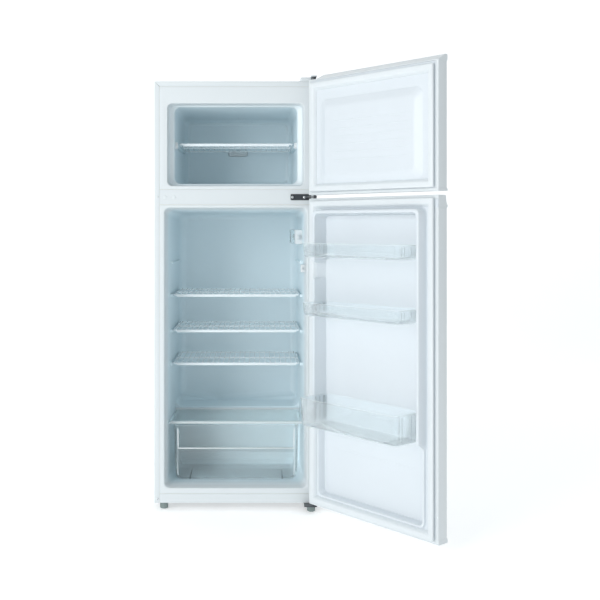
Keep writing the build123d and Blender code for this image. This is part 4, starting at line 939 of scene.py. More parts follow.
def shelf_tree():
    tree, given, result = geometry_tree("Wire shelf", [
        ("Centre", "NodeSocketVector", None), ("Width", "NodeSocketFloat", 0.44), ("Depth", "NodeSocketFloat", 0.29),
        ("Cross wires", "NodeSocketInt", 24), ("Frame wire radius", "NodeSocketFloat", 0.0026),
        ("Cross wire radius", "NodeSocketFloat", 0.0014), ("Corner radius", "NodeSocketFloat", 0.009),
        ("Coating", "NodeSocketMaterial", None)])
    radius, thin = given["Frame wire radius"], given["Cross wire radius"]
    circle = add_node(tree, "GeometryNodeCurvePrimitiveCircle", {"Resolution": 12, "Radius": radius})
    slim = add_node(tree, "GeometryNodeCurvePrimitiveCircle", {"Resolution": 8, "Radius": thin})
    two = scaled(tree, radius, 2.0)
    width = add_node(tree, "ShaderNodeMath", {0: given["Width"], 1: two}, operation="SUBTRACT").outputs[0]
    depth = add_node(tree, "ShaderNodeMath", {0: given["Depth"], 1: two}, operation="SUBTRACT").outputs[0]
    frame_line = add_node(tree, "GeometryNodeCurvePrimitiveQuadrilateral", {"Width": width, "Height": depth})
    rounded = add_node(tree, "GeometryNodeFilletCurve",
                       {"Curve": frame_line.outputs[0], "Radius": given["Corner radius"], "Count": 8}, mode="POLY")
    hoop = add_node(tree, "GeometryNodeCurveToMesh", {0: rounded.outputs[0], 1: circle.outputs[0]})

    def along_width(share_back, drop, inset):
        """A straight wire across the shelf, this share of its depth behind the middle and this many radii down."""
        half = add_node(tree, "ShaderNodeMath", {0: scaled(tree, width, 0.5), 1: inset}, operation="SUBTRACT")
        y, z = scaled(tree, depth, share_back), scaled(tree, radius, -drop)
        right = add_node(tree, "ShaderNodeCombineXYZ", {0: half.outputs[0], 1: y, 2: z}).outputs[0]
        left = add_node(tree, "ShaderNodeCombineXYZ", {0: scaled(tree, half.outputs[0], -1.0), 1: y, 2: z}).outputs[0]
        line = add_node(tree, "GeometryNodeCurvePrimitiveLine", {"Start": left, "End": right})
        return add_node(tree, "GeometryNodeCurveToMesh", {0: line.outputs[0], 1: circle.outputs[0],
                                                          "Fill Caps": True}).outputs[0]

    reach = scaled(tree, depth, 0.5)
    lift = add_node(tree, "ShaderNodeMath", {0: radius, 1: scaled(tree, thin, 0.45)}, operation="ADD").outputs[0]
    start = add_node(tree, "ShaderNodeCombineXYZ", {1: scaled(tree, reach, -1.0), 2: lift}).outputs[0]
    end = add_node(tree, "ShaderNodeCombineXYZ", {1: reach, 2: lift}).outputs[0]
    wire_line = add_node(tree, "GeometryNodeCurvePrimitiveLine", {"Start": start, "End": end})
    wire = add_node(tree, "GeometryNodeCurveToMesh", {0: wire_line.outputs[0], 1: slim.outputs[0], "Fill Caps": True})
    span = add_node(tree, "ShaderNodeMath", {0: width, 1: 0.019}, operation="SUBTRACT").outputs[0]
    first = add_node(tree, "ShaderNodeCombineXYZ", {0: scaled(tree, span, -0.5)}).outputs[0]
    last = add_node(tree, "ShaderNodeCombineXYZ", {0: scaled(tree, span, 0.5)}).outputs[0]
    row = add_node(tree, "GeometryNodeMeshLine", {"Count": given["Cross wires"], "Start Location": first,
                                                  "Offset": last}, mode="END_POINTS")
    wires = add_node(tree, "GeometryNodeInstanceOnPoints", {"Points": row.outputs[0], "Instance": wire.outputs[0]})
    all_wires = add_node(tree, "GeometryNodeJoinGeometry")
    for part in (hoop.outputs[0], along_width(0.0, 0.0, 0.0), along_width(-0.496, 1.75, 0.011), wires.outputs[0]):
        tree.links.new(part, all_wires.inputs[0])
    real = add_node(tree, "GeometryNodeRealizeInstances", {0: all_wires.outputs[0]})
    placed = add_node(tree, "GeometryNodeTransform", {0: real.outputs[0], "Translation": given["Centre"]})
    painted = add_node(tree, "GeometryNodeSetMaterial", {0: placed.outputs[0], "Material": given["Coating"]})
    tree.links.new(painted.outputs[0], result.inputs[0])
    return tree


print("shelf maker ready")

# %% [markdown]
# The freezer has one shelf and the refrigerator three. Each takes its place and its width from the solid that
# it stands for, so only the number of cross wires is given here.

# %% Four wire shelves
shelf_maker = shelf_tree()
for node, wires in (("freezer_shelf", 20), ("upper_shelf", 24), ("middle_shelf", 24), ("lower_shelf", 24)):
    low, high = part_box(node)
    top = high.z - 0.002 - 0.0026
    shelf = grown(shelf_maker, {
        "Centre": ((low.x + high.x) / 2, (low.y + high.y) / 2, top), "Width": high.x - low.x, "Depth": high.y - low.y,
        "Cross wires": wires, "Frame wire radius": 0.0026, "Cross wire radius": 0.0014, "Corner radius": 0.009,
        "Coating": finishes["wire_white"]}, node + "_wires")
    settle(shelf, None, node, (node,))
    print(node, "wires", wires, "faces", len(shelf.data.polygons))

# %% [markdown]
# The end of the freezer shelf is held by a small white stop on each wall, and a moulded cover low on the
# back wall hides the temperature sensor. Both are little mouldings with rounded corners and drafted sides.

# %% Freezer stops and sensor cover
stops = []
clip_low, clip_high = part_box("shelf_clips")
z0, z1 = clip_low.z / MM, clip_high.z / MM
for side in (-1, 1):
    wall = clip_high.x / MM
    outline = [(60, z0 + 7), (64, z0 + 1.5), (69, z0), (75.5, z0 + 3), (76, z0 + 12), (75.5, z1 - 4), (71, z1),
               (66, z1 - 1.5), (61, z1 - 8)]
    stops.append(skin([[(side * (wall - w), d * (1 - k) + 68.5 * k, z * (1 - k) + (z0 + z1) / 2 * k)
                        for d, z in outline] for w, k in ((-1.5, 0.0), (5.0, 0.04), (8.6, 0.12), (9.6, 0.28))]))
make_piece("freezer_shelf_stops", stops, finishes["white_plastic"], "cabinet", ("shelf_clips",),
           soft=0.5)
sense_low, sense_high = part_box("sensor_cover")
x1, z0, z1 = sense_high.x / MM, sense_low.z / MM, sense_high.z / MM
d0, d1 = (sense_low.y - FACE) / MM, (sense_high.y - FACE) / MM
SENSOR = [(d1, x1, z0, z1, 6), (d0 + 2.0, x1 - 0.8, z0 + 0.8, z1 - 0.8, 5.6), (d0 + 0.5, x1 - 2.0, z0 + 2, z1 - 2, 5),
          (d0, x1 - 4, z0 + 4, z1 - 4, 3.5), (d0 + 0.1, x1 - 8, z0 + 7, z1 - 7, 2),
          (d0 + 0.7, x1 - 9, z0 + 8, z1 - 8, 1.6)]
make_piece("sensor_housing", [skin([plain_ring(*r) for r in SENSOR])], finishes["white_plastic"], "cabinet",
           ("sensor_cover",))
print("stops", len(stops), "sensor rows", len(SENSOR))

# %% [markdown]
# The drawer and the door bins are thin clear mouldings with drafted walls, a thick rim and rounded
# feet; rims and edges carry a painted highlight, a brighter and more opaque finish. A clear part has to be
# closed, with a real inside and a real thickness, or light passes through it wrongly. A cup is a row of
# level rings up the outside, over the rim and down the inside.

# %% Clear mouldings
def cup(rows, wall, floor, rim=None):
    """A closed tub from its outside rows (x0, x1, d0, d1, radius, z), with a rounded rim."""
    rim = rim or (lambda x, d, z: z)
    top = rows[-1]
    inside = [(r[0] + wall, r[1] - wall, r[2] + wall, r[3] - wall, max(r[4] - wall, 0.8),
               r[5] + floor) for r in rows[:-1]]
    crown = [(top[0] + 0.25 * wall, top[1] - 0.25 * wall, top[2] + 0.25 * wall, top[3] - 0.25 * wall, top[4],
              top[5] + 0.35),
             (top[0] + 0.75 * wall, top[1] - 0.75 * wall, top[2] + 0.75 * wall, top[3] - 0.75 * wall, top[4] - 0.5,
              top[5] + 0.35),
             (top[0] + wall, top[1] - wall, top[2] + wall, top[3] - wall, top[4] - wall, top[5])]
    rings = []
    for x0, x1, d0, d1, radius, z in [*rows, *crown, *reversed(inside)]:
        rings.append([(x, d, rim(x, d, z)) for x, d, z in level_ring(x0, x1, d0, d1, radius, z)])
    return skin(rings)


def bin_shape(bottom, top, reach):
    """A door bin: square ends, a full floor, a tall front, and a back wall cut low between its ends."""
    back, front = PANEL - DROP + 1.6, PANEL + reach
    rows = eased([(-190, 190, back + 6, front - 14, 6, bottom), (-198, 198, back + 1, front - 8, 9, bottom + 0.6),
                  (-201.5, 201.5, back + 0.4, front - 3.4, 12, bottom + 7),
                  (-203.2, 203.2, back, front - 0.9, 14, top - 5),
                  (-204, 204, back, front, 14, top - 4), (-204, 204, back, front, 14, top - 0.4)],
                 (3.0, 4.0, 8.0, 0.6))
    return cup([tuple(r) for r in rows], 2.3, 2.4)


for node, (bottom, top, reach) in BINS.items():
    back, front = PANEL - DROP + 1.6, PANEL + reach
    shapes = [bin_shape(bottom, top, reach)]
    for side in (-1, 1):
        for d in (front - 22, front - 34, -14.0, 4.0, 22.0):
            x0, x1 = sorted((side * 200.2, side * 203.4))
            shapes.append(bar_up([(x0, d), (x1, d), (x1, d + 2.2), (x0, d + 2.2)], bottom + 9, top - 6))
        x0, x1 = sorted((side * 150, side * 152.2))
        shapes.append(brick(x0, x1, back + 4, front - 12, bottom + 1.6, bottom + 5.0))
        hook = [(side * 204.0, back + 1, bottom + 10), (side * 204.0, back + 1, top - 6),
                (side * 204.0, back + 14, top - 6),
                (side * 204.0, back + 14, bottom + 10)]
        shapes.append(skin([[(x + side * k, d, z) for x, d, z in hook] for k in (-2.0, 0.0)]))
    moulding = make_piece(node + "_moulding", shapes, finishes["clear_plastic"], node, (node,),
                          swung=True, crisp=35)
    # painted highlight: the top and bottom edges of each bin take a brighter, more opaque finish
    paint_highlight_faces(moulding, finishes["clear_painted_highlight"], lambda x, d, z: z > top - 1.2 or z < bottom + 1.2)
print("bins", len(BINS))

# %% [markdown]
# The vegetable drawer hangs deeper, with generous corners low down and a finger lip straight across its
# front that has a shallow dip in the middle. Two runners are moulded under its floor, and the front corners
# carry upright ribs; the rim, lip and ribs carry a painted highlight and the runners a painted shade. It
# sits under a glass cover with a moulded trim along each long edge.

# %% Crisper drawer
drawer_low, drawer_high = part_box("crisper_drawer")
floor_z, rim_z = drawer_low.z / MM, drawer_high.z / MM
f0, f1 = (glass_low.y - FACE) / MM - 8 + 1, (drawer_high.y - FACE) / MM
DRAWER = eased([(-192, 192, f0 + 22, f1 - 19, 12, floor_z + 0.2), (-201, 201, f0 + 13, f1 - 11, 20, floor_z + 1.6),
                (-209, 209, f0 + 5, f1 - 5.5, 24, floor_z + 18), (-212, 212, f0 + 2, f1 - 3, 24, floor_z + 44),
                (-213.2, 213.2, f0 + 0.8, f1 - 0.8, 22, rim_z - 8), (-214, 214, f0, f1, 22, rim_z - 6.5),
                (-214, 214, f0, f1, 22, rim_z - 0.5)], (6, 10, 16, 10, 1.0))
LIP_OUTLINE = [(f0 + 2.5, 197.6), (f0 - 6.5, 197.9), (f0 - 8.6, 197.0), (f0 - 9.0, 195.2), (f0 - 9.0, 186.0),
               (f0 - 8.4, 184.4), (f0 - 7.0, 184.4), (f0 - 6.4, 186.0), (f0 - 6.2, 194.0), (f0 + 2.5, 194.4)]
lip_rings = []
for x in [-196, -195, -60, -48, -40, -30, 30, 40, 48, 60, 195, 196]:
    dip = 3.0 * (1 - smooth(34, 52, abs(x)))
    trim = 0.6 if abs(x) == 196 else 0.0
    lip_rings.append([(x, d + trim * (1 if d < f0 - 7 else 0), z + (dip if z < 190 else 0)) for d, z in LIP_OUTLINE])
drawer_parts = [cup([tuple(r) for r in DRAWER], 2.3, 2.4), skin(lip_rings)]
for side in (-1, 1):
    for x in (198, 206):
        x0, x1 = sorted((side * x, side * (x + 1.6)))
        drawer_parts.append(brick(x0, x1, f0 + 5, f0 + 12, floor_z + 32, rim_z - 12))
drawer = make_piece("vegetable_drawer", drawer_parts, finishes["clear_plastic"], "crisper_drawer",
                    ("crisper_drawer",), crisp=35)
# painted highlight: the rim, the top of the lip and the corner ribs take a brighter, more opaque finish
paint_highlight_faces(drawer, finishes["clear_painted_highlight"], lambda x, d, z: z > rim_z - 1.0 or d < f0 - 0.5 and z > 196.0
         or d < f0 + 12 and 197 < abs(x) < 199 and z < rim_z - 12)
# painted shade: the runners take the dark clear_shadow finish, standing for the shade under the drawer's floor
runners = [skin([[(side * x, d, z) for x, z in ((156, floor_z + 2), (157, floor_z + 9), (159.4, floor_z + 9),
                                                (160.4, floor_z + 2))] for d in (f0 + 18, f0 + 110)])
           for side in (-1, 1)]
make_piece("drawer_runners", runners, finishes["clear_shadow"], "crisper_drawer",
           ("crisper_drawer",), soft=0.4)
print("drawer ribs and runners", len(runners))

# %% [markdown]
# The cover over the drawer is a plain sheet of toughened glass with ground edges. A clear trim is pushed
# over its front edge and a white one over its rear edge, where a raised bead stops food from falling behind.

# %% Glass cover and its trims
g0, g1 = (glass_low.y - FACE) / MM, (glass_high.y - FACE) / MM
under, over = glass_low.z / MM, glass_high.z / MM
glass_half = glass_high.x / MM
make_piece("glass_cover", [brick(-glass_half, glass_half, g0, g1, under, over)], finishes["shelf_glass"],
           "crisper_cover", ("crisper_glass",), soft=0.8, rounds=3)


def trim_shape(node, outline):
    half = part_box(node)[1].x / MM
    return [bar_across(outline, -half, half)]


FRONT_TRIM = [(g0 + 5, over + 0.1), (g0 + 4.2, over + 1.8), (g0 + 1, over + 2.8), (g0 - 3, over + 3.0),
              (g0 - 6.5, over + 2.4), (g0 - 8.4, over + 0.9), (g0 - 9, over - 1.2), (g0 - 9, under - 0.6),
              (g0 - 8.2, under - 1.6), (g0 - 6.8, under - 1.8), (g0 + 4, under - 1.8), (g0 + 4.8, under - 1.2),
              (g0 + 5, under - 0.05), (g0 - 0.05, under - 0.05), (g0 - 0.05, over + 0.1)]
REAR_TRIM = [(g1 - 6, over + 0.1), (g1 - 5.4, over + 1.0), (g1 - 1.5, over + 1.8), (g1 + 0.5, over + 4.2),
             (g1 + 2.4, over + 5.0), (g1 + 4.8, over + 4.6), (g1 + 5.8, over + 3.2), (g1 + 6, over + 1),
             (g1 + 6, under + 0.4), (g1 + 5.6, under + 0.05), (g1 + 0.05, under + 0.05), (g1 + 0.05, over + 0.1)]
make_piece("front_trim", trim_shape("glass_front_trim", FRONT_TRIM), finishes["clear_trim"], "crisper_cover",
           ("glass_front_trim",), soft=0.3)
make_piece("rear_trim", trim_shape("glass_rear_trim", REAR_TRIM), finishes["white_plastic"], "crisper_cover",
           ("glass_rear_trim",), soft=0.3)
print("drawer and cover done")

# %% [markdown]
# Screws, grip ribs and louvre bars are each one small shape laid out many times. A row tree takes the
# shape and sets it along a line between two places, and a ring tree sets a rib round a circle. The screw
# head is a flattened dome with a cross cut into it. One tree serves every row, so a change to the head
# changes every screw in the cabinet.

# %% Trees for rows and rings
def laid_out(tree, given, result, points, shape):
    """The shape stood on each point, turned as asked, made real and given the finish."""
    turn = add_node(tree, "FunctionNodeEulerToRotation", {0: given["Turn"]}).outputs[0]
    many = add_node(tree, "GeometryNodeInstanceOnPoints", {"Points": points, "Instance": shape, "Rotation": turn})
    real = add_node(tree, "GeometryNodeRealizeInstances", {0: many.outputs[0]})
    painted = add_node(tree, "GeometryNodeSetMaterial", {0: real.outputs[0], "Material": given["Finish"]})
    tree.links.new(painted.outputs[0], result.inputs[0])
    return tree


def row_tree(name, extra, shape):
    tree, given, result = geometry_tree(name, [
        ("First", "NodeSocketVector", None), ("Last", "NodeSocketVector", None), ("Count", "NodeSocketInt", 2),
        ("Turn", "NodeSocketVector", None), ("Finish", "NodeSocketMaterial", None)] + extra)
    row = add_node(tree, "GeometryNodeMeshLine", {"Count": given["Count"], "Start Location": given["First"],
                                                  "Offset": given["Last"]}, mode="END_POINTS").outputs[0]
    return laid_out(tree, given, result, row, shape(tree, given))


def screw_head(tree, given):
    radius, height = given["Head radius"], given["Head height"]
    ball = add_node(tree, "GeometryNodeMeshUVSphere", {"Segments": 28, "Rings": 18, "Radius": radius})
    flat = add_node(tree, "ShaderNodeMath", {0: height, 1: radius}, operation="DIVIDE").outputs[0]
    squash = add_node(tree, "ShaderNodeCombineXYZ", {0: 1.0, 1: 1.0, 2: flat}).outputs[0]
    dome = add_node(tree, "GeometryNodeTransform", {0: ball.outputs[0], "Scale": squash}).outputs[0]
    cross = add_node(tree, "GeometryNodeMeshBoolean", operation="DIFFERENCE")
    tree.links.new(dome, cross.inputs[0])
    long, short = scaled(tree, radius, 1.15), scaled(tree, radius, 0.27)
    lift = add_node(tree, "ShaderNodeCombineXYZ", {2: height}).outputs[0]
    for a, b in ((long, short), (short, long)):
        size = add_node(tree, "ShaderNodeCombineXYZ", {0: a, 1: b, 2: height}).outputs[0]
        bar = add_node(tree, "GeometryNodeMeshCube", {"Size": size}).outputs[0]
        moved = add_node(tree, "GeometryNodeTransform", {0: bar, "Translation": lift}).outputs[0]
        tree.links.new(moved, cross.inputs[1])
    return cross.outputs[0]


def ring_tree():
    tree, given, result = geometry_tree("Rib ring", [
        ("Centre", "NodeSocketVector", None), ("Ring radius", "NodeSocketFloat", 0.013),
        ("Rib radius", "NodeSocketFloat", 0.0012), ("Rib length", "NodeSocketFloat", 0.012),
        ("Count", "NodeSocketInt", 16), ("Turn", "NodeSocketVector", None), ("Finish", "NodeSocketMaterial", None)])
    circle = add_node(tree, "GeometryNodeMeshCircle", {"Vertices": given["Count"], "Radius": given["Ring radius"]})
    turn = add_node(tree, "FunctionNodeEulerToRotation", {0: given["Turn"]}).outputs[0]
    set_out = add_node(tree, "GeometryNodeTransform", {0: circle.outputs[0], "Rotation": turn,
                                                       "Translation": given["Centre"]}).outputs[0]
    rib = add_node(tree, "GeometryNodeMeshCylinder", {"Vertices": 12, "Radius": given["Rib radius"],
                                                      "Depth": given["Rib length"]}).outputs[0]
    return laid_out(tree, given, result, set_out, rib)


screw_rows = row_tree("Screw row", [("Head radius", "NodeSocketFloat", 0.004),
                                    ("Head height", "NodeSocketFloat", 0.002)], screw_head)
bar_rows = row_tree("Bar row", [("Size", "NodeSocketVector", None)], lambda tree, given: add_node(
    tree, "GeometryNodeMeshCube", {"Size": given["Size"]}).outputs[0])
rib_rings = ring_tree()
print("trees", [g.name for g in bpy.data.node_groups if g.bl_idname == "GeometryNodeTree"])

# %% [markdown]
# Every screw that shows is a zinc-plated pan head with a cross: two over each hinge plate and two small
# ones down the free edge of the frame. A screw is seated on its plate and faces the way it was driven.

# %% Screws
def place(x, d, z):
    return tuple(in_metres([(x, d, z)], False)[0])


DOWN, OUT, UP = (math.pi, 0, 0), (math.pi / 2, 0, 0), (0, 0, 0)
for name, first, last, turn, radius, height in (
        ("top_hinge_screws", (236, 22, 1438.5), (256, 46, 1438.5), UP, 4.4, 1.9),
        ("middle_hinge_screws", (190, -3.0, 1047.5), (230, -3.0, 1047.5), OUT, 4.4, 1.9),
        ("bottom_hinge_screws", (240, 22, 21.0), (240, 48, 21.0), DOWN, 4.4, 1.9),
        ("edge_screws", (-260.5, 0.0, 1048), (-260.5, 0.0, 38), OUT, 3.2, 1.8)):
    row = grown(screw_rows, {"First": place(*first), "Last": place(*last), "Count": 2, "Turn": turn,
                             "Head radius": radius * MM, "Head height": height * MM, "Finish": finishes["zinc"]},
                             name)
    settle(row, None, "cabinet", ("cabinet_screws",))
    print(name, len(row.data.polygons), "faces")

# %% [markdown]
# The hinges are pressed from steel strip and painted nearly black. The middle one is a face plate with
# both ends rounded and a tongue folded out of it, which carries one pin up into the freezer door and down
# into the lower door. The top one lies on the roof, steps up over a riser and reaches forward. The bottom
# one is a flat plate under the base, with a collar that takes the lower door's weight.

# %% Hinges
def pin(across, low, high, radius):
    """A ground pin with a small chamfer at each end."""
    return turned([(0, 0), (radius - 0.6, 0), (radius, 0.6), (radius, high - low - 0.9), (radius - 0.9, high - low),
                   (0, high - low)], (across, PIN_IN, low))


def arc_round(cx, cd, radius, start, end, steps=12):
    return [(cx + radius * math.cos(math.radians(start + (end - start) * i / steps)),
             cd + radius * math.sin(math.radians(start + (end - start) * i / steps))) for i in range(steps + 1)]


plate = [(x, z) for x, z in round_ring(184, 252, 1037.5, 1058, 3.0)]
face_plate = skin([[(x, d, z) for x, z in plate] for d in (0.0, -3.0)])
nose = [(236, 0), (236, -18), (241, -30)] + arc_round(PIN_ACROSS, PIN_IN, 8.0, 225, 450)[0:13] + [(253, -12),
                                                                                                  (252, 0)]
make_piece("middle_hinge", [face_plate, bar_up(nose, 1046, 1049.5), pin(PIN_ACROSS, 1032, 1060.5, 4)],
           finishes["black_steel"], "cabinet", ("middle_hinge_bracket",), soft=0.5)
arm = arc_round(260, PIN_IN, 8.0, 180, 360) + [(268, 9), (252, 9)]
make_piece("top_hinge", [bar_up(round_ring(222, 268, 6, 60, 4), 1436, 1438.5),
                         bar_up([(250, 6), (268, 6), (268, 9), (250, 9)], 1438, 1445.5), bar_up(arm, 1443, 1445.5),
                         pin(PIN_ACROSS, 1431, 1445.5, 4)],
           finishes["black_steel"], "cabinet", ("top_hinge_bracket",), soft=0.5)
foot_plate = round_ring(228, 271, PIN_IN - 8, 62, 5)
collar = turned([(0, 0), (7, 0), (7, 7.1), (6.4, 7.7), (0, 7.7)], (PIN_ACROSS, PIN_IN, 23.8))
make_piece("bottom_hinge", [bar_up(foot_plate, 21, 23.95), collar, pin(PIN_ACROSS, 24, 45, 4)],
           finishes["black_steel"], "cabinet", ("bottom_hinge_bracket",), soft=0.6)
print("three hinges, pin at", PIN_ACROSS, PIN_IN)

# %% [markdown]
# A white moulded cap covers the top hinge. It is drawn in like a lid, with all its upper edges rounded,
# and a narrow nose reaches forward over the arm.

# %% Top hinge cover
CAP = [(0, 1436, 5), (0, 1443, 5), (0.4, 1446, 4.8), (1.4, 1448.4, 4.2), (3.0, 1449.6, 3.4), (5.0, 1450, 2.4)]
lid = skin([level_ring(216 + s, 271 - s, 3 + s, 66 - s, r, z) for s, z, r in CAP])
NOSE = [(0, 1446, 4), (0, 1448, 4), (0.5, 1449.2, 3.6), (1.6, 1449.9, 3.0)]
snout = skin([level_ring(249.5 + s, 270.5 - s, PIN_IN - 10 + s, 6, r, z) for s, z, r in NOSE])
make_piece("hinge_cap", [lid, snout], finishes["white_plastic"], "cabinet", ("top_hinge_cover",))
print("hinge cover rings", len(CAP), "and", len(NOSE))

# %% [markdown]
# The two front feet are screwed in or out to level the cabinet. Each is a nylon puck with ribs to grip and
# a zinc stem up into the base. The rear pair doesn't turn: plain round pads with a rounded rim.

# %% Feet
for name, across, back, top in (("left_foot", -242, 28, 36), ("right_foot", 252, -8, 23.8)):
    puck = turned([(0, 0), (11.2, 0), (12.4, 0.9), (12.7, 3), (12.7, 17.5), (12.0, 19.6), (10.2, 20.8), (4.6, 21),
                   (0, 21)], (across, back, 0), steps=40)
    make_piece(name + "_puck", [puck], finishes["foot_plastic"], name, (name,))
    ribs = grown(rib_rings, {"Centre": place(across, back, 9.6), "Ring radius": 12.7 * MM, "Rib radius": 1.25 * MM,
                             "Rib length": 15.4 * MM, "Count": 16, "Turn": UP, "Finish": finishes["foot_plastic"]},
                 name + "_ribs")
    settle(ribs, None, name, (name,))
    thread = [(0, 0), (3.3, 0)] + [(4.0 if i % 2 else 3.3, 0.5 + 0.7 * i) for i in range(int((top - 21) / 0.7))]
    make_piece(name + "_stem", [turned(thread + [(3.3, top - 20.6),
                                                 (0, top - 20.6)], (across, back, 20.6), steps=20)],
               finishes["zinc"], name, (name,))
pads = [turned([(0, 0), (12.6, 0), (14.2, 0.7), (14.9, 2.2), (15, 6), (15, 17), (14.2, 19.2), (12, 20), (9, 20.4),
                (8.6, 24), (0, 24)], (side * 235, 440, 0), steps=40) for side in (-1, 1)]
make_piece("rear_pads", pads, finishes["foot_plastic"], "cabinet", ("rear_feet",))

# %% [markdown]
# The thermostat and the lamp share one box high on the hinge-side wall. The front end is opaque white and
# carries the dial; behind it a clear cover with slots in its end lets the light through. The dial has a
# coin-edged rim and a grip bar across it, and its stops are raised ticks of growing length, with no figures.

# %% Control box, dial and lamp
box_low, box_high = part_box("thermostat_housing")
wall = box_high.x / MM


def box_ring(d, inset, radius):
    return [(a, d, b) for a, b in round_ring(204 + inset, wall, 888 + inset, 938 - inset, radius)]


shell = skin([box_ring(d, i, r) for d, i, r in ((200, 0, 4), (117, 0, 4), (114, 0.5, 3.8), (112.6, 1.4, 3.2),
                                                (112, 2.8, 2.2))])
ticks = []
for i in range(7):
    t = math.radians(150 + 40 * i)
    c, s, long = math.cos(t), math.sin(t), 0.8 + 0.22 * i
    if 206 < 214.5 + 9.3 * c < wall - 1:
        a, b = (214.5 + 9.3 * c, 912 + 9.3 * s), (214.5 + (9.3 + long) * c, 912 + (9.3 + long) * s)
        ticks.append(skin([[(p[0] - s * w, d, p[1] + c * w) for p, w in ((a, 0.4), (b, 0.4), (b, -0.4), (a, -0.4))]
                           for d in (112.3, 111.7)]))
sunk = turned([(0, 0), (3.1, 0), (3.1, -0.3), (0, -0.3)], (208.5, 112.1, 931), "d", 20)
make_piece("control_box", [shell, sunk] + ticks, finishes["white_plastic"], "cabinet",
           ("thermostat_housing",))
disc = turned([(0, 0), (7.2, 0), (7.9, -0.5), (8.1, -1.2), (8.1, -6.2), (7.6, -6.9), (6.2, -7.2), (0, -7.2)],
              (214.5, 111.6, 912), "d", 48)
grip = skin([[(214.5 + u * k, d, 912 + v * k) for u, v in round_ring(-1.6, 1.6, -7.4, 7.4, 1.4, 4)]
             for d, k in ((105.2, 1.0), (100.9, 0.94), (100.2, 0.8))])
shaft = turned([(0, 0), (3.1, 0), (3.1, 4), (0, 4)], (214.5, 111.4, 912), "d", 20)
make_piece("dial", [disc, grip, shaft], finishes["white_plastic"], "thermostat_knob",
           ("thermostat_knob",))
coin = grown(rib_rings, {"Centre": place(214.5, 108.0, 912), "Ring radius": 8.1 * MM, "Rib radius": 0.38 * MM,
                         "Rib length": 4.6 * MM, "Count": 30, "Turn": OUT, "Finish": finishes["white_plastic"]},
             "dial_rim")
settle(coin, None, "thermostat_knob", ("thermostat_knob",))
print("dial ticks", len(ticks), "wall at", round(wall, 1))

# %% [markdown]
# The lamp cover is a thin clear box, open towards the wall, so it has an outside and an inside. Slots are
# cut through its end to let warm air out, and fine prisms run along its face to spread the light. The lamp
# is a small round bulb in a threaded metal cap.

# %% Lamp cover and lamp
def cover_ring(x, inset, radius):
    return [(x, d, z) for d, z in round_ring(200.3 + inset, 310 - inset, 888 + inset, 938 - inset, radius)]


cover = skin([cover_ring(x, i, r) for x, i, r in (
    (wall, 0, 4), (194, 0, 4), (191.4, 0.7, 4), (190.2, 2, 3.4), (190, 4, 2.6), (192, 4.4, 2.4), (192.2, 3.2, 2.6),
    (194, 2, 3), (wall, 2, 3))], first=False, last=False)
rim = (cover[0], cover[1] + [(i, (i + 1) % 32, 8 * 32 + (i + 1) % 32, 8 * 32 + i) for i in range(32)])
face = skin([cover_ring(190, 4, 2.6), cover_ring(192, 4.4, 2.4)])
rim = (rim[0], [f for f in rim[1] if not (4 * 32 <= min(f) < 5 * 32 and max(f) >= 5 * 32)])
lamp_cover = make_piece("lamp_cover_shell", [rim, (face[0], face[1][-2:])], finishes["clear_plastic"], "cabinet",
                        ("lamp_cover",))
slots = bpy.data.objects.new("slots", bpy.data.meshes.new("slots"))
bm = bmesh.new()
for i in range(4):
    made = bmesh.ops.create_cube(bm, size=1.0)["verts"]
    bmesh.ops.scale(bm, vec=(14.0 * MM, 8 * MM, 6 * MM), verts=made)
    bmesh.ops.translate(bm, vec=place(204.5, 201.3, 898 + 10 * i), verts=made)
bm.to_mesh(slots.data)
bm.free()
bpy.context.scene.collection.objects.link(slots)
cut = lamp_cover.modifiers.new("slots", "BOOLEAN")
cut.object, cut.solver, cut.operation = slots, "EXACT", "DIFFERENCE"
bake_modifiers(lamp_cover)
bpy.data.objects.remove(slots)
prisms = grown(bar_rows, {"First": place(192.6, 214, 913), "Last": place(192.6, 304, 913), "Count": 19, "Turn": UP,
                          "Size": (0.0012, 0.0012, 0.042), "Finish": finishes["clear_plastic"]}, "lamp_prisms")
settle(prisms, None, "cabinet", ("lamp_cover",))
ball = [(7.0, 4), (7.3, 7), (8.6, 12), (9.6, 17)] + [
    (11.3 * math.sin(math.radians(a)), 28 - 11.3 * math.cos(math.radians(a))) for a in range(62, 181, 12)]
make_piece("bulb_glass", [turned([(0, 4)] + ball + [(0, 39.3)], (211, 226, 912),
                                 "d", 28)], finishes["lamp_glass"], "cabinet", ("lamp_bulb",))
cap_line = [(0, 0), (5.5, 0.2)] + [(6.9 if i % 2 else 6.2, 1.0 + 1.1 * i) for i in range(10)]
make_piece("bulb_cap", [turned(cap_line + [(6.2, 12), (0, 12)], (211, 226.2, 912), "d", 24)], finishes["zinc"],
           "cabinet", ("lamp_bulb",))
print("lamp cover", len(lamp_cover.data.polygons), "faces, control box depth", round((box_high.y - box_low.y) / MM,
                                                                                     1))

# %% [markdown]
# The door switch sits on the same wall near the face. Its housing is a small rounded block, and the plunger
# stands out of its front, where the lower door pushes it in. A rounded nose lets the door slide onto it.

# %% Door switch
low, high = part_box("door_switch_housing")
x0, x1 = low.x / MM, high.x / MM
rows = ((48, 0, 3), (19, 0, 3), (17, 0.6, 2.6), (16, 2.2, 1.8))
make_piece("switch_block", [skin([[(a, d, b) for a, b in round_ring(x0 + i, x1, 795 + i, 821 - i, r)]
                                  for d, i, r in rows])], finishes["white_plastic"], "cabinet",
           ("door_switch_housing",))
low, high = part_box("door_switch_plunger")
px, pz = (low.x + high.x) / 2 / MM, (low.z + high.z) / 2 / MM
make_piece("switch_nose", [turned([(0, 4), (1.4, 4.15), (2.5, 4.9), (3.1, 6.2), (3.15, 8), (3.15, 24), (0, 24)],
                                  (px, 0, pz), "d", 28)], finishes["grey_plastic"], "door_switch",
           ("door_switch_plunger",))
print("switch across", round(px, 1), "up", round(pz, 1))
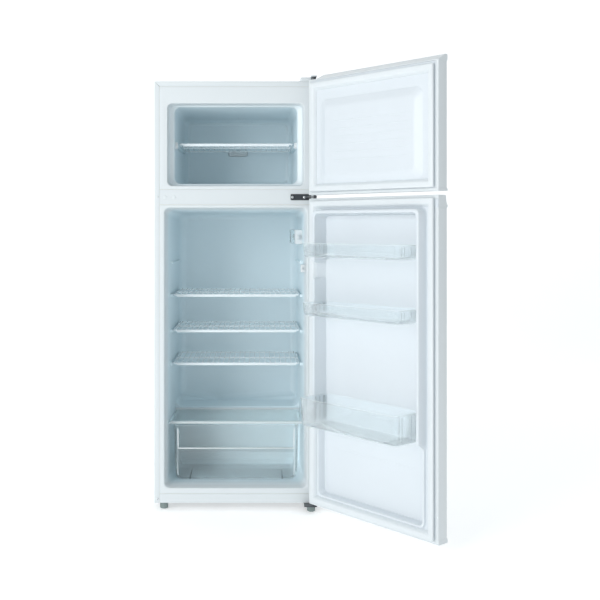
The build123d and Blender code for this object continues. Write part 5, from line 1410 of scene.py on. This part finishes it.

# %% [markdown]
# The back is a painted steel sheet, pressed with shallow beads so it doesn't drum. The beads are long
# rounded ridges. The ridges are raised by moving the middle of a finely divided sheet, so each one runs
# out smoothly at its ends.

# %% Back sheet
def ridge(distance, width):
    """Height share across a rounded ridge."""
    return 0.5 + 0.5 * math.cos(math.pi * min(1.0, abs(distance) / width))


def sheet(x0, x1, z0, z1, d_in, d_out, columns, rows, height):
    """A closed sheet whose outer side follows a height rule (across, up)."""
    points, faces = [], []
    for j in range(rows + 1):
        for i in range(columns + 1):
            x, z = x0 + (x1 - x0) * i / columns, z0 + (z1 - z0) * j / rows
            points.append((x, d_out - height(x, z), z))
    for j in range(rows):
        for i in range(columns):
            a = j * (columns + 1) + i
            faces.append((a, a + 1, a + columns + 2, a + columns + 1))
    n = len(points)
    points += [(x, d_in, z) for x, _, z in points[:n]]
    w, top = columns + 1, rows * (columns + 1)
    faces += [tuple(n + k for k in reversed(f)) for f in faces]
    around = ([k for k in range(w)] + [columns + w * j for j in range(1, rows + 1)]
              + [top + columns - k for k in range(1, w)] + [w * j for j in range(rows - 1, 0, -1)])
    faces += [(a, b, b + n, a + n) for a, b in zip(around, around[1:] + around[:1])]
    return points, faces


def back_sink(x, z):
    """The whole sheet is 1 mm deep: the field is sunk 0.6 and the ridges and the border stay proud."""
    border = smooth(4, 10, 271.5 - abs(x)) * smooth(4, 10, min(1435 - z, z - 263))
    run_out = smooth(0, 30, z - 300) * smooth(0, 30, 1398 - z)
    beads = max((ridge(x - c, 9) for c in (-210, -126, -42, 42, 126, 210)), default=0) * run_out
    cross = max(ridge(z - c, 9) for c in (286, 1412)) * smooth(0, 20, 232 - abs(x))
    return 0.6 * border * (1 - max(beads, cross))


make_piece("back_sheet", [sheet(-271.5, 271.5, 263, 1435, 499.05, 500, 272, 196, back_sink)],
           finishes["grey_steel"], "cabinet", ("rear_panel",), crisp=60)
print("back sheet beads", 6)

# %% [markdown]
# Under the tub the cabinet is closed by a flat base pan, and the machine bay behind it has its own wall
# and roof. The compressor stands on a plate with a turned-up rear edge. These are all bare folded sheet,
# so they need true thickness, a bend radius and a few pressed ribs.

# %% Base pan, machine bay and compressor plate
def node_box(node):
    low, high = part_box(node)
    return (low.x / MM, high.x / MM, (low.y - FACE) / MM, (high.y - FACE) / MM, low.z / MM, high.z / MM)


x0, x1, d0, d1, z0, z1 = node_box("base_pan")
pan = [level_ring(x0 + 0.3, x1 - 0.3, d0, d1, 2, z) for z in (z0 + 0.0, z1)]
dents = [skin([level_ring(c - 46 + s, c + 46 - s, 70 + s, 240 - s, 16 - s, z) for s, z in ((0, z0 + 0.05),
                                                                                           (3, z0 + 0.9),
                                                                                    (4, z1 - 0.1))]) for c in (-150,
                                                                                                               0,
                                                                                                               150)]
make_piece("base_sheet", [skin(pan)] + dents, finishes["grey_steel"], "cabinet", ("base_pan",),
           soft=0.3)
x0, x1, d0, d1, z0, z1 = node_box("machine_bay_panel")
bend = [(d0, z0), (d0 + 1, z0), (d0 + 1, z1 - 3.2)] + [
    (d0 + 1 + 2.2 * (1 - math.cos(math.radians(a))), z1 - 3.2 + 2.2 * math.sin(math.radians(a))) for a in (30, 60,
                                                                                                           90)] + [
    (d1, z1 - 1), (d1, z1), (d0 + 3.2, z1)] + [
    (d0 + 3.2 - 3.2 * math.sin(math.radians(a)), z1 - 3.2 + 3.2 * math.cos(math.radians(a))) for a in (30, 60, 90)]
ribs = grown(bar_rows, {"First": place(-200, d0 + 1.2, 150), "Last": place(200, d0 + 1.2, 150), "Count": 6,
                        "Turn": UP,
                        "Size": (0.012, 0.0008, 0.16), "Finish": finishes["grey_steel"]}, "bay_wall_ribs")
settle(ribs, None, "cabinet", ("machine_bay_panel",))
make_piece("bay_wall", [bar_across(bend, x0, x1)], finishes["grey_steel"], "cabinet",
           ("machine_bay_panel",), soft=0.3)
x0, x1, d0, d1, z0, z1 = node_box("compressor_plate")
lip = [(d0, z0), (d1 - 3, z0)] + [(d1 - 3 + 3 * math.sin(math.radians(a)), z0 + 3 - 3 * math.cos(math.radians(a)))
                                  for a in (30, 60, 90)] + [(d1, z1), (d1 - 1.5, z1), (d1 - 1.5, z0 + 4)] + [
    (d1 - 3.5 + 2 * math.cos(math.radians(a)), z0 + 4 - 2 * math.sin(math.radians(a))) for a in (30, 60, 90)] + [
    (d0, z0 + 2)]
make_piece("bay_plate", [bar_across(lip, x0, x1)], finishes["grey_steel"], "cabinet",
           ("compressor_plate",), soft=0.3)
print("machine bay sheets done")

# %% [markdown]
# The compressor is a welded steel pot: two drawn halves lapped at a seam and stove-enamelled black, on a
# base plate that stands on four rubber mounts. It is turned as rings that swell and close like a real
# pressing. A plastic cover clips over its terminals, and a tray on top catches the water from the drain.

# %% Compressor and what stands on it
def pot_ring(grow, z, steps=64):
    return [(-10 + (92 + grow) * math.cos(2 * math.pi * i / steps),
             402 + (66 + grow) * math.sin(2 * math.pi * i / steps),
             z) for i in range(steps)]


POT = [(-66, 42), (-30, 42.1), (-20, 42.8), (-11.5, 45.6), (-5, 50.5), (-1.4, 56.5), (0, 63), (0, 111.5), (1.6, 112),
       (3.2, 112.2), (3.5, 112.8), (3.5, 116.2), (3.2, 116.8), (1.0, 117), (-0.8, 118), (-1, 120), (-1, 155),
       (-2.2, 162),
       (-5.5, 170), (-11, 178), (-19, 184.5), (-30, 188.6), (-42, 189.8), (-65.8, 190)]
plate = bar_up(round_ring(-113, 93, 335, 469, 16), 39.2, 43)
make_piece("compressor_pot", [skin([pot_ring(g, z) for g, z in POT]), plate], finishes["compressor_black"], "cabinet",
           ("compressor",))
cushion = [(0, 26), (10.6, 26), (11, 26.6), (11, 30), (8.6, 31), (8.6, 33), (10.6, 34), (10.6, 38.2), (10, 39),
           (6.2, 39.4),
           (5.7, 40), (5.7, 46.2), (5, 47), (0, 47)]
make_piece("rubber_mounts", [turned([(r, z - 26) for r, z in cushion], (-10 + sx * 88, 402 + sy * 52, 26), steps=28)
                             for sx in (-1, 1) for sy in (-1, 1)],
           finishes["rubber_grey"], "cabinet", ("compressor_mounts",))
cover = skin([[(x, a, b) for a, b in round_ring(370 + s, 434 - s, 78 + s, 142 - s, r)] for x, s, r in (
    (82, 0, 5), (113, 0, 5), (117, 0.8, 4.6), (119.2, 2.4, 3.8), (120, 5, 2.4))])
make_piece("terminal_cap", [cover], finishes["foot_plastic"], "cabinet", ("terminal_cover",))
grooves = grown(bar_rows, {"First": place(119.6, 384, 110), "Last": place(119.6, 420, 110), "Count": 7, "Turn": UP,
                           "Size": (0.0008, 0.0024, 0.044), "Finish": finishes["foot_plastic"]}, "terminal_ribs")
settle(grooves, None, "cabinet", ("terminal_cover",))
TRAY = [(88, 346, 476, 212.0, 12), (89.2, 343.5, 478.6, 218, 12.6), (93, 340.3, 481.7, 240.6, 14),
        (94, 340, 482, 241.4, 14),
        (94, 340, 482, 242, 14), (92, 342, 480, 242, 12.4), (91.7, 342.2, 479.8, 241, 12.2),
        (88.6, 345, 477, 220, 11),
        (87, 347.6, 474.4, 214.6, 10.4), (84, 350, 472, 214, 9)]
tray = skin([level_ring(-20 - h, -20 + h, a, b, r, z) for h, a, b, z, r in TRAY])
legs = [turned([(0, 0), (6, 0), (6, 22.2), (0, 22.2)], (-10 + sx * 34, 402 + sy * 22, 189.8), steps=20)
        for sx in (-1, 1) for sy in (-1, 1)]
make_piece("drip_tray", [tray] + legs, finishes["grey_plastic"], "cabinet", ("evaporating_tray",))
print("compressor faces", 64 * len(POT))

# %% [markdown]
# Copper tube carries the refrigerant: the thick suction line, the discharge and liquid lines, and a thin
# capillary from the drier. Each follows straight runs with equal bends, as a bending tool leaves it. The
# drier is a spun copper can with both ends drawn down to the tube.

# %% Tubes, drier, drain and gland
pipes = [
    bent_pipe([(-94, 380, 90), (-122, 380, 90), (-122, 380, 230), (-200, 380, 230), (-200, 380, 258)], 3.2, 10),
    bent_pipe([(-94, 418, 76), (-134, 418, 76), (-134, 418, 244), (-222, 418, 244), (-222, 310, 244)], 3.8, 11),
    bent_pipe([(-150, 440, 191), (-150, 440, 222), (-180, 440, 222), (-180, 440, 258)], 3.2, 10),
    bent_pipe([(-150, 440, 99), (-150, 440, 70), (-205, 440, 70), (-205, 440, 258)], 1.6, 9, 10),
]
make_piece("copper_tubes", pipes, finishes["copper"], "cabinet", ("refrigerant_tubes",))
can = [(0, 0), (2.4, 0), (3.2, 2), (7.5, 8.2), (9.6, 9.6), (10, 11), (10, 20), (9.5, 21), (9.5, 23), (10, 24),
       (10, 66),
       (9.5, 67), (9.5, 69), (10, 70), (10, 79), (9.6, 80.4), (7.5, 81.8), (4, 88), (3.6, 90), (0, 90)]
make_piece("drier_can", [turned(can, (-150, 440, 100), steps=32)], finishes["copper"], "cabinet",
           ("filter_drier",))
x0, x1, d0, d1, z0, z1 = node_box("drain_hose")
r, steps = (x1 - x0) / 2, int((z1 - z0) / 2.0)
hose = [(0, 0)] + [(r - (0.9 if i % 2 else 0.0), 0.4 + (z1 - z0 - 0.8) * i / steps) for i in range(steps + 1)]
make_piece("drain_bellows", [turned(hose + [(0, z1 - z0)], ((x0 + x1) / 2, (d0 + d1) / 2, z0), steps=28)],
           finishes["grey_plastic"], "cabinet", ("drain_hose",))
x0, x1, d0, d1, z0, z1 = node_box("cord_gland")
gland = [(4, 0), (9, 0), (9.4, 0.6), (9.4, d1 - d0 - 5.4), (8.7, d1 - d0 - 5), (8.7, d1 - d0 - 3.6),
         (10.5, d1 - d0 - 3.2),
         (10.5, d1 - d0 - 1), (9.4, d1 - d0), (5, d1 - d0), (4, d1 - d0 - 1)]
ring = turned(gland, ((x0 + x1) / 2, d0, (z0 + z1) / 2), "d", 32)
n, m = 32, len(gland)
ring = (ring[0], ring[1][:-2] + [((m - 1) * n + j, (m - 1) * n + (j + 1) % n, (j + 1) % n, j) for j in range(n)])
make_piece("gland", [ring], finishes["rubber_grey"], "cabinet", ("cord_gland",))
print("pipes", len(pipes), "drain from", round(z0, 1))

# %% [markdown]
# What is sealed inside the walls is never seen, but it has its own place: foam between the skins, the
# condenser pipe under the side sheets and the cold plates behind the tubs. Those keep their solids. Only
# the doors' foam is drawn again, as a plain filling clear of both skins, so it never shows at a recess.

# %% Foam in the doors
for half_node, z0, z1, body in (("freezer_door_foam", 1065, 1427, "freezer_door"),
                                ("fridge_door_foam", 50, 1004, "fridge_door")):
    block = skin([upright_ring(266, z0, z1, 12, d) for d in (-50.4, -48, -34)])
    make_piece(half_node + "_fill", [block], finishes["insulation"], body, (half_node,), swung=True)
print("doors filled")

# %% [markdown]
# The stage is a plain table top: a pale sweep of floor, one large soft light from the front left, a
# weaker one from the right, and a bright even sky that fills the shadows. The camera looks level and
# square on at the cabinet, from a little right of its middle, with the lens shifted down to take in
# the feet. Shifting keeps the cabinet's sides upright, where tilting would make them lean.

# %% Stage, light and camera
def sweep_floor():
    """A floor that curves up into a backdrop far behind."""
    mesh = bpy.data.meshes.new("floor")
    lines = [(-6.0, 0.0), (2.2, 0.0)]
    lines += [(2.2 + 1.6 * math.sin(math.radians(a)), 1.6 - 1.6 * math.cos(math.radians(a))) for a in range(9, 91, 9)]
    lines += [(3.8, 7.0)]
    points = [(x, y, z) for y, z in lines for x in (-9.0, 9.0)]
    faces = [(2 * i, 2 * i + 1, 2 * i + 3, 2 * i + 2) for i in range(len(lines) - 1)]
    mesh.from_pydata(points, [], faces)
    mesh.shade_smooth()
    thing = bpy.data.objects.new("floor", mesh)
    bpy.context.scene.collection.objects.link(thing)
    thing.data.materials.append(make_finish("pale_floor", (0.95, 0.955, 0.955), 0.8, bump=0.02, tone_spread=0.01,
                                            Emission_Color=(1, 1, 1, 1), Emission_Strength=0.34))
    thing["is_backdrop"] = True


def soft_light(name, place, target, size, power, colour):
    data = bpy.data.lights.new(name, "AREA")
    data.shape, data.size, data.energy, data.color = "SQUARE", size, power, colour
    thing = bpy.data.objects.new(name, data)
    thing.location = place
    thing.rotation_euler = (Vector(target) - Vector(place)).to_track_quat("-Z", "Y").to_euler()
    bpy.context.scene.collection.objects.link(thing)


sweep_floor()
soft_light("key", (-3.0, -3.7, 1.75), (0.0, -0.1, 0.75), 2.6, 104, (1.0, 1.0, 1.0))
soft_light("fill", (2.9, -3.2, 1.7), (0.2, -0.2, 0.7), 2.4, 4, (0.95, 0.98, 1.0))
sky = bpy.data.worlds.new("sky")
sky.use_nodes = True
sky.node_tree.nodes["Background"].inputs["Color"].default_value = (0.93, 0.975, 1.0, 1)
sky.node_tree.nodes["Background"].inputs["Strength"].default_value = 0.56
bpy.context.scene.world = sky
bpy.context.scene.view_settings.view_transform = "Standard"

camera = bpy.data.cameras.new("camera")
camera.lens, camera.sensor_width = 56.94, 36.0
camera.shift_x, camera.shift_y = 0.07, -0.125
camera.clip_end = 60.0
eye = bpy.data.objects.new("camera", camera)
eye.location = (0.075, FACE - 3.177, 0.9546)
eye.rotation_euler = (math.radians(90), 0, 0)
bpy.context.scene.collection.objects.link(eye)
bpy.context.scene.camera = eye
print("camera at", [round(v, 3) for v in eye.location], "lens", camera.lens)

# %% [markdown]
# Last, the bounds of the finished object are measured.

# %% Measure and finish
low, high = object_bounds()
